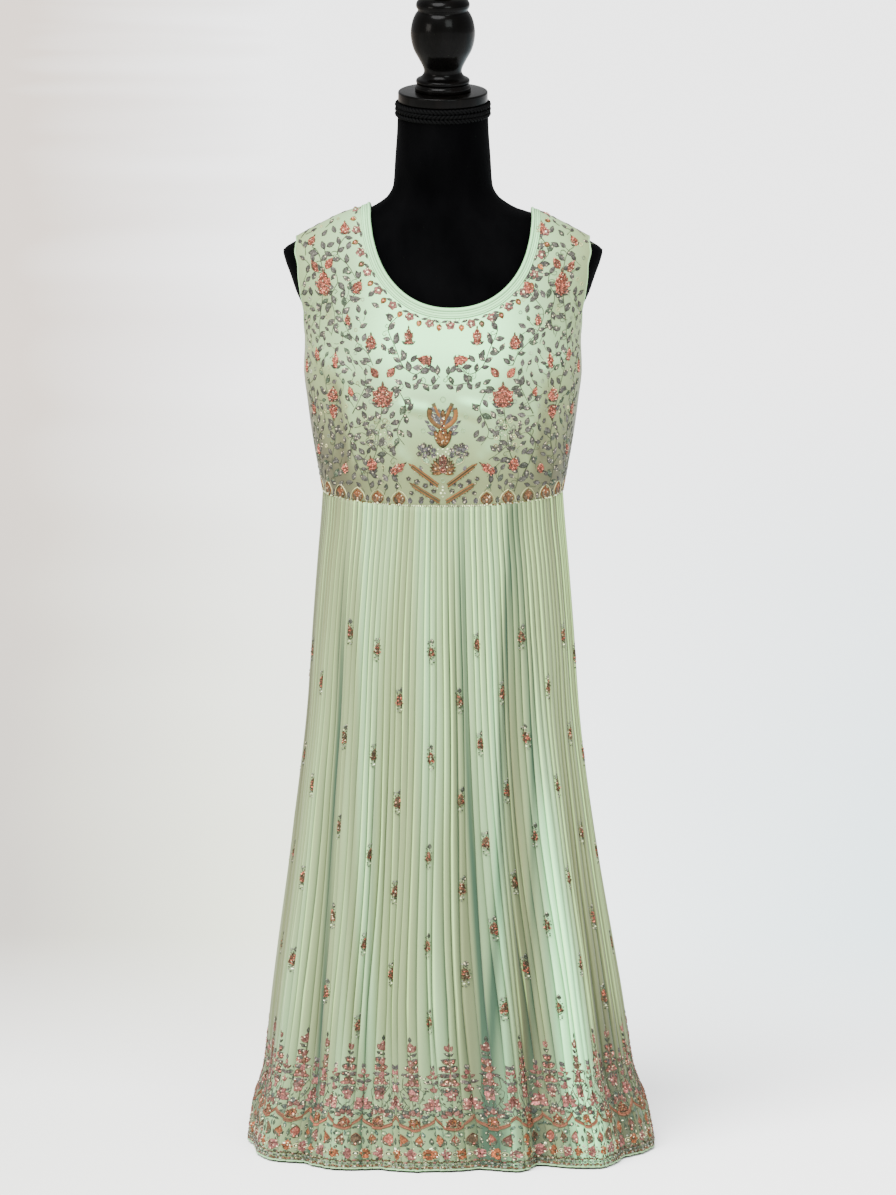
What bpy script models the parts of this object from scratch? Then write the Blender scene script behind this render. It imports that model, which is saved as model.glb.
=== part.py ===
# Anarkali gown on a limbless dress form. Metres, +Z up, the gown faces -Y.
# The origin is the point on the floor under the stand's pole.
#
# Every panel of the bodice lies on the form at a stated distance, so the form's sections shape both.
# The skirt is a pleated cone: smooth rings from its own sections, with folds and pleats added to them.

import math
from collections import namedtuple

import bpy
import numpy as np
from mathutils import Vector

COLLECTION = "anarkali_gown"
FRONT, BACK = -1, 1

# Cloth
WALL = 0.0015                # wall of every cloth panel
SEAM_GAP = 0.0003            # between two sewn pieces, and between a piece and its seat
CLOTH_CLEARANCE = 0.004      # from the form to the inside of the bodice
CLOTH_LIFT = CLOTH_CLEARANCE + WALL

# Bodice
NECK_HALF_WIDTH = 0.1068     # of the neckline, at the shoulders
NECK_SHIFT = 0.0108          # the neckline sits this far to +X
NECK_BOTTOM = {FRONT: 1.1455, BACK: 1.205}   # height of the neckline at the centre
NECK_SQUARENESS = 2.2
SHOULDER_TIP = 1.2312        # height where the shoulder seam meets the armhole
ARMPIT = 1.105               # height where the side seam meets the armhole
SEAM_SIDE = 0.896            # waist seam at the sides and the back
SEAM_DIP = 0.011             # how far it dips at the centre front
BINDING_WIDTH = 0.0125
BINDING_WALL = 0.0012
BODICE_COLUMNS = 20          # on each half of a panel, from the centre to the shoulder
BODICE_ROWS = 9              # from the neckline out to the panel's other edges
ARMPIT_TURN, WAIST_TURN = 64.0, 36.0   # degrees round the neckline that face those two corners
SHOULDER_CROWDING = 1.7      # the armhole's points draw together at the shoulder, where the form turns over
NEXT_TO_SEAM = 89.6          # degrees: a column close to the shoulder seam keeps its edge square
NEXT_TO_EDGE = 0.002         # a row this close to the outer edge keeps that square too
SEAM_BEND_START = 62.0       # degrees: columns past this one bend to follow the shoulder seam
SHOULDER_RIDGE = (1.2165, 1.300)   # heights between which the form narrows from shoulder to neck
ARC_SAMPLES = 91

# Skirt
PLEATS = 62                  # on each panel
SKIRT_ROWS = 8
HEM = 0.004                  # height of the hem above the floor
PLEAT_DEPTH_TOP = 0.0016     # peak to valley
PLEAT_DEPTH_HEM = 0.0052
RIGHT_FLARE = 0.085          # the hem reaches this share further to +X than to -X
RIGHT_FLARE_START = 0.55     # height where that begins
FLARE_CURVE = 1.5
FOLD_CURVE = 0.8             # how a fold grows down the skirt
FOLD_FADE = 0.25             # how it dies away next to the side seams
SKIRT_SAMPLES = 541

# Dress form and stand
FORM_COLUMNS = 32
NECK_TOP = 1.4167
NECK_TILT = math.radians(8)  # the top of the neck leans forward
TILT_START, TILT_SPAN = 1.300, 0.070   # heights over which the neck's sections tip over to that
CAP_RADIUS, CAP_HEIGHT = 0.060, 0.014
CORD_INNER, CORD_THICKNESS, CORD_STRAND = 0.0616, 0.0034, 0.0095
FORM_BOTTOM = 0.575
BASE_RADIUS, BASE_HEIGHT = 0.160, 0.010
BOSS_RADIUS, BOSS_HEIGHT = 0.026, 0.040
POLE_RADIUS = 0.013
SHARP_ANGLE = math.radians(40)

# Horizontal sections of the form: the front and back depths are measured from its lean,
# which is the section's own centre along Y.
FormSection = namedtuple("FormSection", "height half_width front back squareness lean")
FORM_SECTIONS = [
    FormSection(0.5750, 0.1460, 0.0940, 0.1040, 2.20, 0.0000),
    FormSection(0.5900, 0.1550, 0.1000, 0.1120, 2.20, 0.0000),
    FormSection(0.6200, 0.1590, 0.1030, 0.1160, 2.30, 0.0000),
    FormSection(0.6800, 0.1620, 0.1050, 0.1180, 2.30, 0.0000),
    FormSection(0.7600, 0.1570, 0.1020, 0.1060, 2.30, 0.0000),
    FormSection(0.8350, 0.1490, 0.1000, 0.0900, 2.30, 0.0000),
    FormSection(0.8680, 0.1480, 0.1030, 0.0880, 2.30, 0.0000),
    FormSection(0.8900, 0.1550, 0.1110, 0.0910, 2.35, 0.0000),
    FormSection(0.9400, 0.1655, 0.1240, 0.0970, 2.40, 0.0000),
    FormSection(0.9900, 0.1735, 0.1330, 0.1020, 2.40, 0.0000),
    FormSection(1.0180, 0.1770, 0.1345, 0.1050, 2.40, 0.0000),
    FormSection(1.0580, 0.1815, 0.1280, 0.1080, 2.40, 0.0000),
    FormSection(1.1000, 0.1800, 0.1160, 0.1100, 2.35, 0.0000),
    FormSection(1.1350, 0.1855, 0.1030, 0.1100, 2.30, 0.0000),
    FormSection(1.1620, 0.1970, 0.0930, 0.1070, 2.25, 0.0000),
    FormSection(1.1840, 0.2045, 0.0850, 0.1030, 2.20, 0.0000),
    FormSection(1.2050, 0.2120, 0.0780, 0.0980, 2.15, 0.0000),
    FormSection(1.2165, 0.2145, 0.0740, 0.0940, 2.10, 0.0000),
    FormSection(1.2225, 0.2090, 0.0720, 0.0920, 2.10, 0.0000),
    FormSection(1.2285, 0.1985, 0.0700, 0.0895, 2.10, 0.0000),
    FormSection(1.2330, 0.1905, 0.0685, 0.0875, 2.10, 0.0000),
    FormSection(1.2415, 0.1750, 0.0660, 0.0840, 2.10, 0.0000),
    FormSection(1.2497, 0.1590, 0.0635, 0.0800, 2.10, 0.0010),
    FormSection(1.2620, 0.1335, 0.0600, 0.0745, 2.10, 0.0025),
    FormSection(1.2725, 0.1000, 0.0575, 0.0690, 2.05, 0.0045),
    FormSection(1.2800, 0.0860, 0.0560, 0.0665, 2.05, 0.0055),
    FormSection(1.2900, 0.0735, 0.0550, 0.0640, 2.05, 0.0060),
    FormSection(1.3050, 0.0665, 0.0560, 0.0620, 2.00, 0.0045),
    FormSection(1.3400, 0.0640, 0.0590, 0.0615, 2.00, 0.0000),
    FormSection(1.3850, 0.0610, 0.0605, 0.0605, 2.00, -0.0055),
    FormSection(NECK_TOP, 0.0603, 0.0603, 0.0603, 2.00, -0.0100),
]

# Edge of the armhole: reach is the share of the form's half-width at that height.
ArmholePoint = namedtuple("ArmholePoint", "height reach")
ARMHOLE = [
    ArmholePoint(ARMPIT, 1.000),
    ArmholePoint(1.1180, 0.994),
    ArmholePoint(1.1426, 0.968),
    ArmholePoint(1.1620, 0.944),
    ArmholePoint(1.1836, 0.926),
    ArmholePoint(1.2050, 0.902),
    ArmholePoint(1.2165, 0.906),
    ArmholePoint(1.2245, 0.940),
    ArmholePoint(SHOULDER_TIP, 1.000),
]

# Horizontal sections of the skirt, through the middle of its pleats, before any fold.
SkirtSection = namedtuple("SkirtSection", "height half_width front back squareness")
SKIRT_SECTIONS = [
    SkirtSection(0.0000, 0.2650, 0.2100, 0.2150, 2.75),
    SkirtSection(0.0500, 0.2590, 0.2060, 0.2100, 2.70),
    SkirtSection(0.0780, 0.2500, 0.2020, 0.2040, 2.65),
    SkirtSection(0.1060, 0.2430, 0.1970, 0.1990, 2.60),
    SkirtSection(0.1620, 0.2360, 0.1900, 0.1920, 2.55),
    SkirtSection(0.2740, 0.2220, 0.1790, 0.1800, 2.50),
    SkirtSection(0.3850, 0.2070, 0.1690, 0.1670, 2.45),
    SkirtSection(0.4950, 0.1935, 0.1590, 0.1550, 2.45),
    SkirtSection(0.6050, 0.1820, 0.1500, 0.1420, 2.40),
    SkirtSection(0.7150, 0.1745, 0.1400, 0.1300, 2.40),
    SkirtSection(0.8000, 0.1680, 0.1290, 0.1160, 2.40),
    SkirtSection(0.8600, 0.1630, 0.1200, 0.1040, 2.35),
    SkirtSection(0.8960, 0.1605, 0.1165, 0.0970, 2.35),
]

# Largest folds: the angle from the centre front at the waist and at the hem and the half-width, in
# degrees, the depth at the hem (outwards is positive), and the share of the drop where each starts.
Fold = namedtuple("Fold", "waist hem half_width depth start")
FRONT_FOLDS = [
    Fold(-76, -74, 5.0, -0.008, 0.25),
    Fold(-64, -61, 6.0, 0.010, 0.20),
    Fold(-54, -48, 4.5, -0.012, 0.05),
    Fold(-40, -36, 5.5, 0.007, 0.15),
    Fold(-28, -25, 4.5, -0.007, 0.15),
    Fold(-12, -8, 7.0, 0.006, 0.10),
    Fold(7, 13, 4.5, -0.010, 0.05),
    Fold(19, 24, 4.5, 0.008, 0.15),
    Fold(34, 36, 5.0, -0.026, 0.10),
    Fold(45, 48, 6.5, 0.022, 0.20),
    Fold(61, 62, 5.0, -0.009, 0.25),
    Fold(75, 75, 5.5, 0.006, 0.30),
]
BACK_FOLDS = [
    Fold(104, 105, 6.0, -0.010, 0.20),
    Fold(118, 120, 6.0, 0.009, 0.15),
    Fold(132, 133, 5.0, -0.012, 0.10),
    Fold(147, 149, 6.0, 0.008, 0.20),
    Fold(162, 160, 5.0, -0.009, 0.10),
    Fold(176, 178, 6.5, 0.008, 0.15),
    Fold(191, 192, 5.0, -0.012, 0.05),
    Fold(205, 208, 6.0, 0.010, 0.15),
    Fold(221, 222, 5.0, -0.010, 0.20),
    Fold(236, 235, 6.0, 0.009, 0.20),
    Fold(251, 250, 5.0, -0.009, 0.25),
]

# Turned profiles, from the top down: radius and height over the piece's own foot.
Turn = namedtuple("Turn", "radius height")
FINIAL_PROFILE = [
    Turn(0.0000, 0.1600),
    Turn(0.0085, 0.1580),
    Turn(0.0145, 0.1520),
    Turn(0.0165, 0.1440),
    Turn(0.0140, 0.1365),
    Turn(0.0125, 0.1325),
    Turn(0.0190, 0.1290),
    Turn(0.0300, 0.1250),
    Turn(0.0350, 0.1195),
    Turn(0.0358, 0.1140),
    Turn(0.0335, 0.1085),
    Turn(0.0370, 0.1030),
    Turn(0.0410, 0.0930),
    Turn(0.0431, 0.0790),
    Turn(0.0420, 0.0670),
    Turn(0.0385, 0.0550),
    Turn(0.0320, 0.0430),
    Turn(0.0265, 0.0320),
    Turn(0.0255, 0.0250),
    Turn(0.0290, 0.0195),
    Turn(0.0350, 0.0160),
    Turn(0.0360, 0.0125),
    Turn(0.0350, 0.0090),
    Turn(0.0372, 0.0060),
    Turn(0.0372, 0.0000),
]
CAP_EDGE = 0.0018
CAP_PROFILE = [
    Turn(CAP_RADIUS - CAP_EDGE, CAP_HEIGHT),
    Turn(CAP_RADIUS - CAP_EDGE / 3, CAP_HEIGHT - CAP_EDGE / 3),
    Turn(CAP_RADIUS, CAP_HEIGHT - CAP_EDGE),
    Turn(CAP_RADIUS, CAP_EDGE),
    Turn(CAP_RADIUS - CAP_EDGE, 0.0),
]
BOSS_PROFILE = [
    Turn(BOSS_RADIUS - 0.003, BOSS_HEIGHT),
    Turn(BOSS_RADIUS, BOSS_HEIGHT - 0.003),
    Turn(BOSS_RADIUS + 0.004, BASE_HEIGHT + 0.004),
    Turn(BOSS_RADIUS + 0.004, BASE_HEIGHT + SEAM_GAP),
]
BASE_PROFILE = [
    Turn(BOSS_RADIUS + 0.012, BASE_HEIGHT),
    Turn(BASE_RADIUS - 0.006, BASE_HEIGHT - 0.001),
    Turn(BASE_RADIUS - 0.001, BASE_HEIGHT - 0.004),
    Turn(BASE_RADIUS, 0.003),
    Turn(BASE_RADIUS - 0.002, 0.0),
]


# Tables and sections

def column_at(table, column, height):
    """Smooth curve through one column of a table, read at any heights, with no overshoot."""
    knots = np.array([row.height for row in table])
    values = np.array([getattr(row, column) for row in table])
    span = np.diff(knots)
    slope = np.diff(values) / span
    tangent = np.zeros(len(knots))
    product = slope[:-1] * slope[1:]
    steady = product > 0
    tangent[1:-1][steady] = 2 * product[steady] / (slope[:-1] + slope[1:])[steady]
    tangent[0], tangent[-1] = slope[0], slope[-1]
    height = np.clip(height, knots[0], knots[-1])
    cell = np.clip(np.searchsorted(knots, height, side="right") - 1, 0, len(span) - 1)
    t = (height - knots[cell]) / span[cell]
    start = (1 + 2 * t) * (1 - t) ** 2 * values[cell] + t * (1 - t) ** 2 * span[cell] * tangent[cell]
    end = t * t * (3 - 2 * t) * values[cell + 1] - t * t * (1 - t) * span[cell] * tangent[cell + 1]
    return start + end


def form_section(side, height):
    """Half-width, depth, squareness and lean of the form on one side at a height."""
    depth = "front" if side == FRONT else "back"
    columns = ("half_width", depth, "squareness", "lean")
    return [column_at(FORM_SECTIONS, column, height) for column in columns]


def form_level(side, point):
    """1 on the form's surface and more outside it."""
    width, depth, power, lean = form_section(side, point[2])
    return (abs(point[0]) / width) ** power + (abs(point[1] - lean) / depth) ** power


def form_point(side, reach, height):
    """Point on the form where x is reach times the half-width."""
    width, depth, power, lean = form_section(side, height)
    y = lean + side * depth * max(0.0, 1 - abs(reach) ** power) ** (1 / power)
    return Vector((reach * width, y, height))


def form_normal(side, point):
    """Outward normal of the form, from the slope of its level."""
    width, depth, power, lean = form_section(side, point[2])
    step = 0.0005
    above = form_level(side, point + Vector((0, 0, step)))
    below = form_level(side, point - Vector((0, 0, step)))
    across = power / width * (abs(point[0]) / width) ** (power - 1)
    along = power / depth * (abs(point[1] - lean) / depth) ** (power - 1)
    return Vector((math.copysign(across, point[0]), side * along, (above - below) / (2 * step))).normalized()


def ridge_height(half_width):
    """Height where the form's shoulder has this half-width."""
    low, high = SHOULDER_RIDGE
    for _ in range(40):
        middle = (low + high) / 2
        if column_at(FORM_SECTIONS, "half_width", middle) > half_width:
            low = middle
        else:
            high = middle
    return low


class Ring:
    """One side of a horizontal section of the form, measured along its arc from the centre line."""

    def __init__(self, side, height):
        width, depth, power, _ = form_section(side, height)
        self.reach = np.sin(np.linspace(0, math.pi / 2, ARC_SAMPLES))
        x = width * self.reach
        y = depth * np.maximum(0, 1 - self.reach ** power) ** (1 / power)
        steps = np.hypot(np.diff(x), np.diff(y))
        self.arc = np.concatenate([[0], np.cumsum(steps)])

    def arc_at(self, reach):
        return float(np.interp(reach, self.reach, self.arc))

    def reach_at(self, arc):
        return float(np.interp(arc, self.arc, self.reach))

    def length(self):
        return float(self.arc[-1])


# Bodice

def seam_height(side, reach):
    """Height of the waist seam on the form."""
    dip = SEAM_DIP if side == FRONT else 0.0
    return SEAM_SIDE - dip * (1 - reach * reach)


def bodice_foot(side, reach):
    """Height of the bodice's lower edge, which is lower than its seam on the form where that leans out."""
    point = form_point(side, reach, seam_height(side, reach))
    return point.z + CLOTH_LIFT * form_normal(side, point).z


def neck_edge(side, half, turn):
    """Arc and height of the neckline, turn degrees round it from the centre, on the half at -X or +X."""
    sideways = math.sin(math.radians(turn)) ** (2 / NECK_SQUARENESS)
    upwards = 1 - max(0.0, math.cos(math.radians(turn))) ** (2 / NECK_SQUARENESS)
    x = half * NECK_SHIFT + NECK_HALF_WIDTH * sideways
    top = ridge_height(half * NECK_SHIFT + NECK_HALF_WIDTH)
    height = NECK_BOTTOM[side] + (top - NECK_BOTTOM[side]) * upwards
    ring = Ring(side, height)
    if turn >= 90:
        return ring.length(), height
    reach = x / column_at(FORM_SECTIONS, "half_width", height)
    return math.copysign(ring.arc_at(abs(reach)), reach), height


def outer_edge(side, turn):
    """Arc and height of the panel's other edge: the armhole, then the side seam, then the waist."""
    if turn >= ARMPIT_TURN:
        share = (turn - ARMPIT_TURN) / (90 - ARMPIT_TURN)
        crowded = 1 - (1 - share) ** SHOULDER_CROWDING
        height = ARMPIT + (SHOULDER_TIP - ARMPIT) * crowded
        return Ring(side, height).arc_at(column_at(ARMHOLE, "reach", height)), height
    if turn >= WAIST_TURN:
        share = (turn - WAIST_TURN) / (ARMPIT_TURN - WAIST_TURN)
        height = SEAM_SIDE + (ARMPIT - SEAM_SIDE) * share
        return Ring(side, height).length(), height
    ring = Ring(side, SEAM_SIDE)
    arc = ring.length() * turn / WAIST_TURN
    return arc, seam_height(side, ring.reach_at(arc))


def shoulder_seam(side, half, share):
    """Arc and height along the shoulder seam, from the neckline at 0 to the armhole at 1."""
    inner = half * NECK_SHIFT + NECK_HALF_WIDTH
    tip = column_at(FORM_SECTIONS, "half_width", SHOULDER_TIP)
    height = ridge_height(inner + (tip - inner) * share)
    return Ring(side, height).length(), height


def bodice_column(side, half, turn):
    """Points of one column of a bodice panel on the form, from the neckline outwards."""
    start, end = neck_edge(side, half, turn), outer_edge(side, turn)
    length = math.dist(start, end)
    band, close = BINDING_WIDTH / length, 1 - NEXT_TO_EDGE / length
    shares = [0.0] + list(np.linspace(band, 1, BODICE_ROWS)[:-1]) + [close, 1.0]
    seam_ends = shoulder_seam(side, half, 0), shoulder_seam(side, half, 1)
    pull = min(1.0, max(0.0, (turn - SEAM_BEND_START) / (90 - SEAM_BEND_START))) ** 2
    column = []
    for share in shares:
        seam = shoulder_seam(side, half, share)
        bend = [seam[i] - (seam_ends[0][i] + (seam_ends[1][i] - seam_ends[0][i]) * share) for i in (0, 1)]
        arc, height = [start[i] + (end[i] - start[i]) * share + pull * bend[i] for i in (0, 1)]
        ring = Ring(side, height)
        reach = math.copysign(ring.reach_at(abs(arc)), arc)
        if turn >= 90:
            reach = 1.0
        column.append(form_point(side, half * reach, height))
    return column


def bodice_grid(side):
    """Columns of a panel on the form's surface, in the order that turns anticlockwise from above."""
    turns = list(np.linspace(0, 90, BODICE_COLUMNS + 1))
    turns.insert(-1, NEXT_TO_SEAM)
    left = [bodice_column(side, -1, turn) for turn in reversed(turns[1:])]
    right = [bodice_column(side, 1, turn) for turn in turns[1:]]
    middle = bodice_column(side, 1, 0)
    columns = left + [middle] + right
    return columns if side == FRONT else columns[::-1]


def lifted(side, column, lift, apart=0.0):
    """The column moved out from the form along its normals, and away from the other panel."""
    return [p + form_normal(side, p) * lift + Vector((0, side * apart, 0)) for p in column]


# Skirt

def fold_depth(angles, share, folds):
    """How far the folds push the skirt's wall outwards at these angles, share of the way to the hem."""
    push = np.zeros_like(angles)
    for fold in folds:
        centre = fold.waist + (fold.hem - fold.waist) * share
        growth = np.clip((share - fold.start) / (1 - fold.start), 0, 1) ** FOLD_CURVE
        push += fold.depth * growth * np.exp(-((angles - centre) / fold.half_width) ** 2)
    return push


def skirt_ring(side, share):
    """Dense points along one panel's row, share of the way from the waist seam to the hem."""
    folds = FRONT_FOLDS if side == FRONT else BACK_FOLDS
    turn = np.linspace(-math.pi / 2, math.pi / 2, SKIRT_SAMPLES) * -side
    reach = np.sin(turn)
    top = np.array([bodice_foot(side, r) for r in reach]) - SEAM_GAP
    height = top + (HEM - top) * share
    flare = np.clip((RIGHT_FLARE_START - height) / RIGHT_FLARE_START, 0, 1) ** FLARE_CURVE
    width = column_at(SKIRT_SECTIONS, "half_width", height) * np.where(reach > 0, 1 + RIGHT_FLARE * flare, 1)
    depth = column_at(SKIRT_SECTIONS, "front" if side == FRONT else "back", height)
    power = column_at(SKIRT_SECTIONS, "squareness", height)
    x = width * reach
    y = side * depth * np.maximum(0, 1 - abs(reach) ** power) ** (1 / power)
    radius = np.hypot(x, y)
    angle = np.degrees(np.arctan2(x, -y)) % 360 if side == BACK else np.degrees(np.arctan2(x, -y))
    push = 1 + fold_depth(angle, share, folds) * np.cos(turn) ** FOLD_FADE / radius
    return np.stack([x * push, y * push, height], axis=1)


def evenly_spaced(points, count):
    """Count points evenly spaced along a line of points."""
    steps = np.linalg.norm(np.diff(points, axis=0), axis=1)
    arc = np.concatenate([[0], np.cumsum(steps)])
    places = np.linspace(0, arc[-1], count)
    return np.stack([np.interp(places, arc, points[:, axis]) for axis in range(3)], axis=1)


def skirt_grid(side):
    """Columns of a pleated panel: each pleat has a peak and a valley, and both side edges are valleys."""
    rows = []
    for share in np.linspace(0, 1, SKIRT_ROWS + 1):
        points = evenly_spaced(skirt_ring(side, share), 2 * PLEATS + 1)
        along = np.gradient(points, axis=0)
        outwards = np.stack([along[:, 1], -along[:, 0], np.zeros(len(points))], axis=1)
        outwards /= np.linalg.norm(outwards, axis=1, keepdims=True)
        outwards[[0, -1]] = np.sign(outwards[[0, -1]]) * (1, 0, 0)
        depth = PLEAT_DEPTH_TOP + (PLEAT_DEPTH_HEM - PLEAT_DEPTH_TOP) * share
        peaks = np.where(np.arange(len(points)) % 2 == 1, 0.5, -0.5)
        points = points + outwards * (depth * peaks)[:, None]
        points[:, 1] += side * SEAM_GAP / 2
        rows.append(points)
    return [[Vector(row[i]) for row in rows] for i in range(2 * PLEATS + 1)]


# Objects

def material(name, colour, roughness, metallic=0.0, sheen=0.0):
    made = bpy.data.materials.new(name)
    made.use_nodes = True
    shader = made.node_tree.nodes["Principled BSDF"]
    shader.inputs["Base Color"].default_value = (*colour, 1.0)
    shader.inputs["Roughness"].default_value = roughness
    shader.inputs["Metallic"].default_value = metallic
    shader.inputs["Sheen Weight"].default_value = sheen
    made.diffuse_color = (*colour, 1.0)
    return made


def add_object(name, mesh, collection, finish):
    mesh.materials.append(finish)
    made = bpy.data.objects.new(name, mesh)
    collection.objects.link(made)
    return made


def cloth_object(name, columns, wall, collection, finish, closed=False):
    """A grid of columns, each from the top down, given its wall inwards by Solidify."""
    rows = len(columns[0])
    points = [point for column in columns for point in column]
    faces = []
    for i in range(len(columns) if closed else len(columns) - 1):
        here, there = i * rows, (i + 1) % len(columns) * rows
        faces += [(here + j, here + j + 1, there + j + 1, there + j) for j in range(rows - 1)]
    mesh = bpy.data.meshes.new(name)
    mesh.from_pydata(points, [], faces)
    made = add_object(name, mesh, collection, finish)
    solidify = made.modifiers.new("wall", "SOLIDIFY")
    solidify.thickness = wall
    solidify.offset = -1
    return made


def loft_object(name, rings, collection, finish):
    """Closed body through rings of equal count, from the bottom up."""
    count = len(rings[0])
    points = [point for ring in rings for point in ring]
    faces = [tuple(reversed(range(count))), tuple(range(len(points) - count, len(points)))]
    for k in range(len(rings) - 1):
        low, high = k * count, (k + 1) * count
        faces += [(low + i, low + (i + 1) % count, high + (i + 1) % count, high + i) for i in range(count)]
    mesh = bpy.data.meshes.new(name)
    mesh.from_pydata(points, [], faces)
    mesh.shade_smooth()
    mesh.set_sharp_from_angle(angle=SHARP_ANGLE)
    return add_object(name, mesh, collection, finish)


def turned_object(name, profile, steps, collection, finish, closed=False):
    """A profile of radius and height, from the top down its outer side, turned about its own Z axis."""
    points = [(turn.radius, 0, turn.height) for turn in profile]
    if not closed:
        for end, place in ((profile[0], 0), (profile[-1], len(points) + 1)):
            if end.radius > 0:
                points.insert(place, (0, 0, end.height))
    edges = [(i, i + 1) for i in range(len(points) - 1)]
    if closed:
        edges.append((len(points) - 1, 0))
    mesh = bpy.data.meshes.new(name)
    mesh.from_pydata(points, edges, [])
    made = add_object(name, mesh, collection, finish)
    screw = made.modifiers.new("turn", "SCREW")
    screw.steps = screw.render_steps = steps
    screw.use_merge_vertices = True
    screw.merge_threshold = 0.00001
    screw.use_smooth_shade = True
    return made


def make_gown(collection, mint, binding):
    grids = {side: bodice_grid(side) for side in (FRONT, BACK)}
    for side, word in ((FRONT, "front"), (BACK, "back")):
        columns = [lifted(side, column, CLOTH_LIFT, SEAM_GAP / 2) for column in grids[side]]
        cloth_object("bodice_" + word, columns, WALL, collection, mint)
        cloth_object("skirt_" + word, skirt_grid(side), WALL, collection, mint)
    # The binding is the panels' own first two rows, moved out, and crosses both shoulder seams.
    lift = CLOTH_LIFT + SEAM_GAP + BINDING_WALL
    ring = [lifted(FRONT, column[:2], lift) for column in grids[FRONT]]
    ring += [lifted(BACK, column[:2], lift) for column in grids[BACK][1:-1]]
    ring = [[column[1], column[0]] for column in ring]
    cloth_object("neck_binding", ring[::-1], BINDING_WALL, collection, binding, closed=True)


def make_form(collection, velvet, wood, steel):
    rings = []
    turns = np.linspace(0, 2 * math.pi, FORM_COLUMNS, endpoint=False)
    for section in FORM_SECTIONS:
        ring = []
        tilted = min(1.0, max(0.0, (section.height - TILT_START) / TILT_SPAN))
        for turn in turns:
            side = FRONT if math.cos(turn) > 0 else BACK
            point = form_point(side, math.sin(turn), section.height)
            point.z += tilted * math.tan(NECK_TILT) * (point.y - section.lean)
            ring.append(point)
        rings.append(ring)
    loft_object("form_torso", rings, collection, velvet)

    axis = Vector((0, -math.sin(NECK_TILT), math.cos(NECK_TILT)))
    neck_top = Vector((0, FORM_SECTIONS[-1].lean, NECK_TOP))
    strand = CORD_STRAND / 2
    outer = CORD_INNER + CORD_THICKNESS
    bulge = [math.radians(a) for a in (60, 20, -20, -60)]
    cord = [Turn(outer - strand + strand * math.cos(a), middle + strand * math.sin(a))
            for middle in (3 * strand, strand) for a in bulge]
    cord += [Turn(CORD_INNER, cord[-1].height), Turn(CORD_INNER, cord[0].height)]
    cap_foot = neck_top + axis * SEAM_GAP
    pieces = (
        ("neck_cord", cord, 24, velvet, neck_top - axis * 0.0195, True),
        ("neck_cap", CAP_PROFILE, 32, wood, cap_foot, False),
        ("finial", FINIAL_PROFILE, 20, wood, cap_foot + axis * (CAP_HEIGHT + SEAM_GAP), False),
    )
    for name, profile, steps, finish, place, closed in pieces:
        piece = turned_object(name, profile, steps, collection, finish, closed)
        piece.location = place
        piece.rotation_euler = (NECK_TILT, 0, 0)

    turned_object("stand_base", BASE_PROFILE, 28, collection, steel)
    turned_object("stand_boss", BOSS_PROFILE, 20, collection, steel)
    pole = [Turn(POLE_RADIUS, FORM_BOTTOM - SEAM_GAP), Turn(POLE_RADIUS, BOSS_HEIGHT + SEAM_GAP)]
    turned_object("stand_pole", pole, 16, collection, steel)


def main():
    for leftover in list(bpy.data.objects):
        bpy.data.objects.remove(leftover)
    collection = bpy.data.collections.new(COLLECTION)
    bpy.context.scene.collection.children.link(collection)
    mint = material("mint_georgette", (0.62, 0.74, 0.60), 0.62, sheen=0.3)
    binding = material("mint_binding", (0.60, 0.77, 0.63), 0.55, sheen=0.2)
    velvet = material("black_velvet", (0.010, 0.010, 0.011), 0.90, sheen=0.5)
    wood = material("dark_turned_wood", (0.014, 0.011, 0.009), 0.28)
    steel = material("black_steel", (0.020, 0.020, 0.021), 0.45, metallic=0.6)
    make_gown(collection, mint, binding)
    make_form(collection, velvet, wood, steel)


main()
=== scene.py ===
import math

import bpy
import numpy as np
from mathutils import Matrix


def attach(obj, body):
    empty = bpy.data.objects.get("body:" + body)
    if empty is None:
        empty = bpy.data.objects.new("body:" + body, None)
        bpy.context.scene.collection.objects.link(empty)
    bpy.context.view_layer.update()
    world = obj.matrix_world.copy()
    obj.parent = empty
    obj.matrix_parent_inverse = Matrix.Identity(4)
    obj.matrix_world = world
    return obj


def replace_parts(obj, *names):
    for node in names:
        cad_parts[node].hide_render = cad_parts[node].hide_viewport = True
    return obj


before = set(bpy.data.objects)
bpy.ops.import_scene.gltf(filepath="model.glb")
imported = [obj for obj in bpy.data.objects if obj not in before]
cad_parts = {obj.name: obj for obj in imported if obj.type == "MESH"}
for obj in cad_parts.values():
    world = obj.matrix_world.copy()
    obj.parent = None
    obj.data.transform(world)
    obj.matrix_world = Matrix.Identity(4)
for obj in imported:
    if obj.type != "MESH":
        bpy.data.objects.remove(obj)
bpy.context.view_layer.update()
print("frame loaded")

# camera, floor and lights

shot = {"distance": 8.0, "height": 1.9, "sideways": 0.0068, "tiltDown": 8.21,
        "lens": 180.0, "sensor": 36.0, "farthest": 400.0}

studio = {
    # average light on the gown, in the renderer's units, and how the film answers to it
    "level": 4.4,
    "film": {"gain": 0.21, "power": 1.23, "brightest": 0.95},
    "floorSize": 160.0,
    "skyColour": (0.98, 0.99, 1.0),
    "skyStrength": 1.0,
    # one broad sun from above, the left and the front: height and direction in degrees, strength, spread
    "sun": (58.0, -28.0, 9.8, 40.0),
    # name: place, size, watts, colour
    "lamps": {
        "frontSoftbox": ((1.4, -3.4, 3.0), 1.5, 120.0, (0.93, 1.0, 0.98)),
        "leftWindow": ((-3.0, -2.2, 2.2), 1.2, 70.0, (1.0, 0.95, 0.88)),
    },
    "aim": (0, 0, 0.85),  # where the lamps point
}


def addThing(name, data):
    thing = bpy.data.objects.new(name, data)
    bpy.context.scene.collection.objects.link(thing)
    return thing


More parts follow.
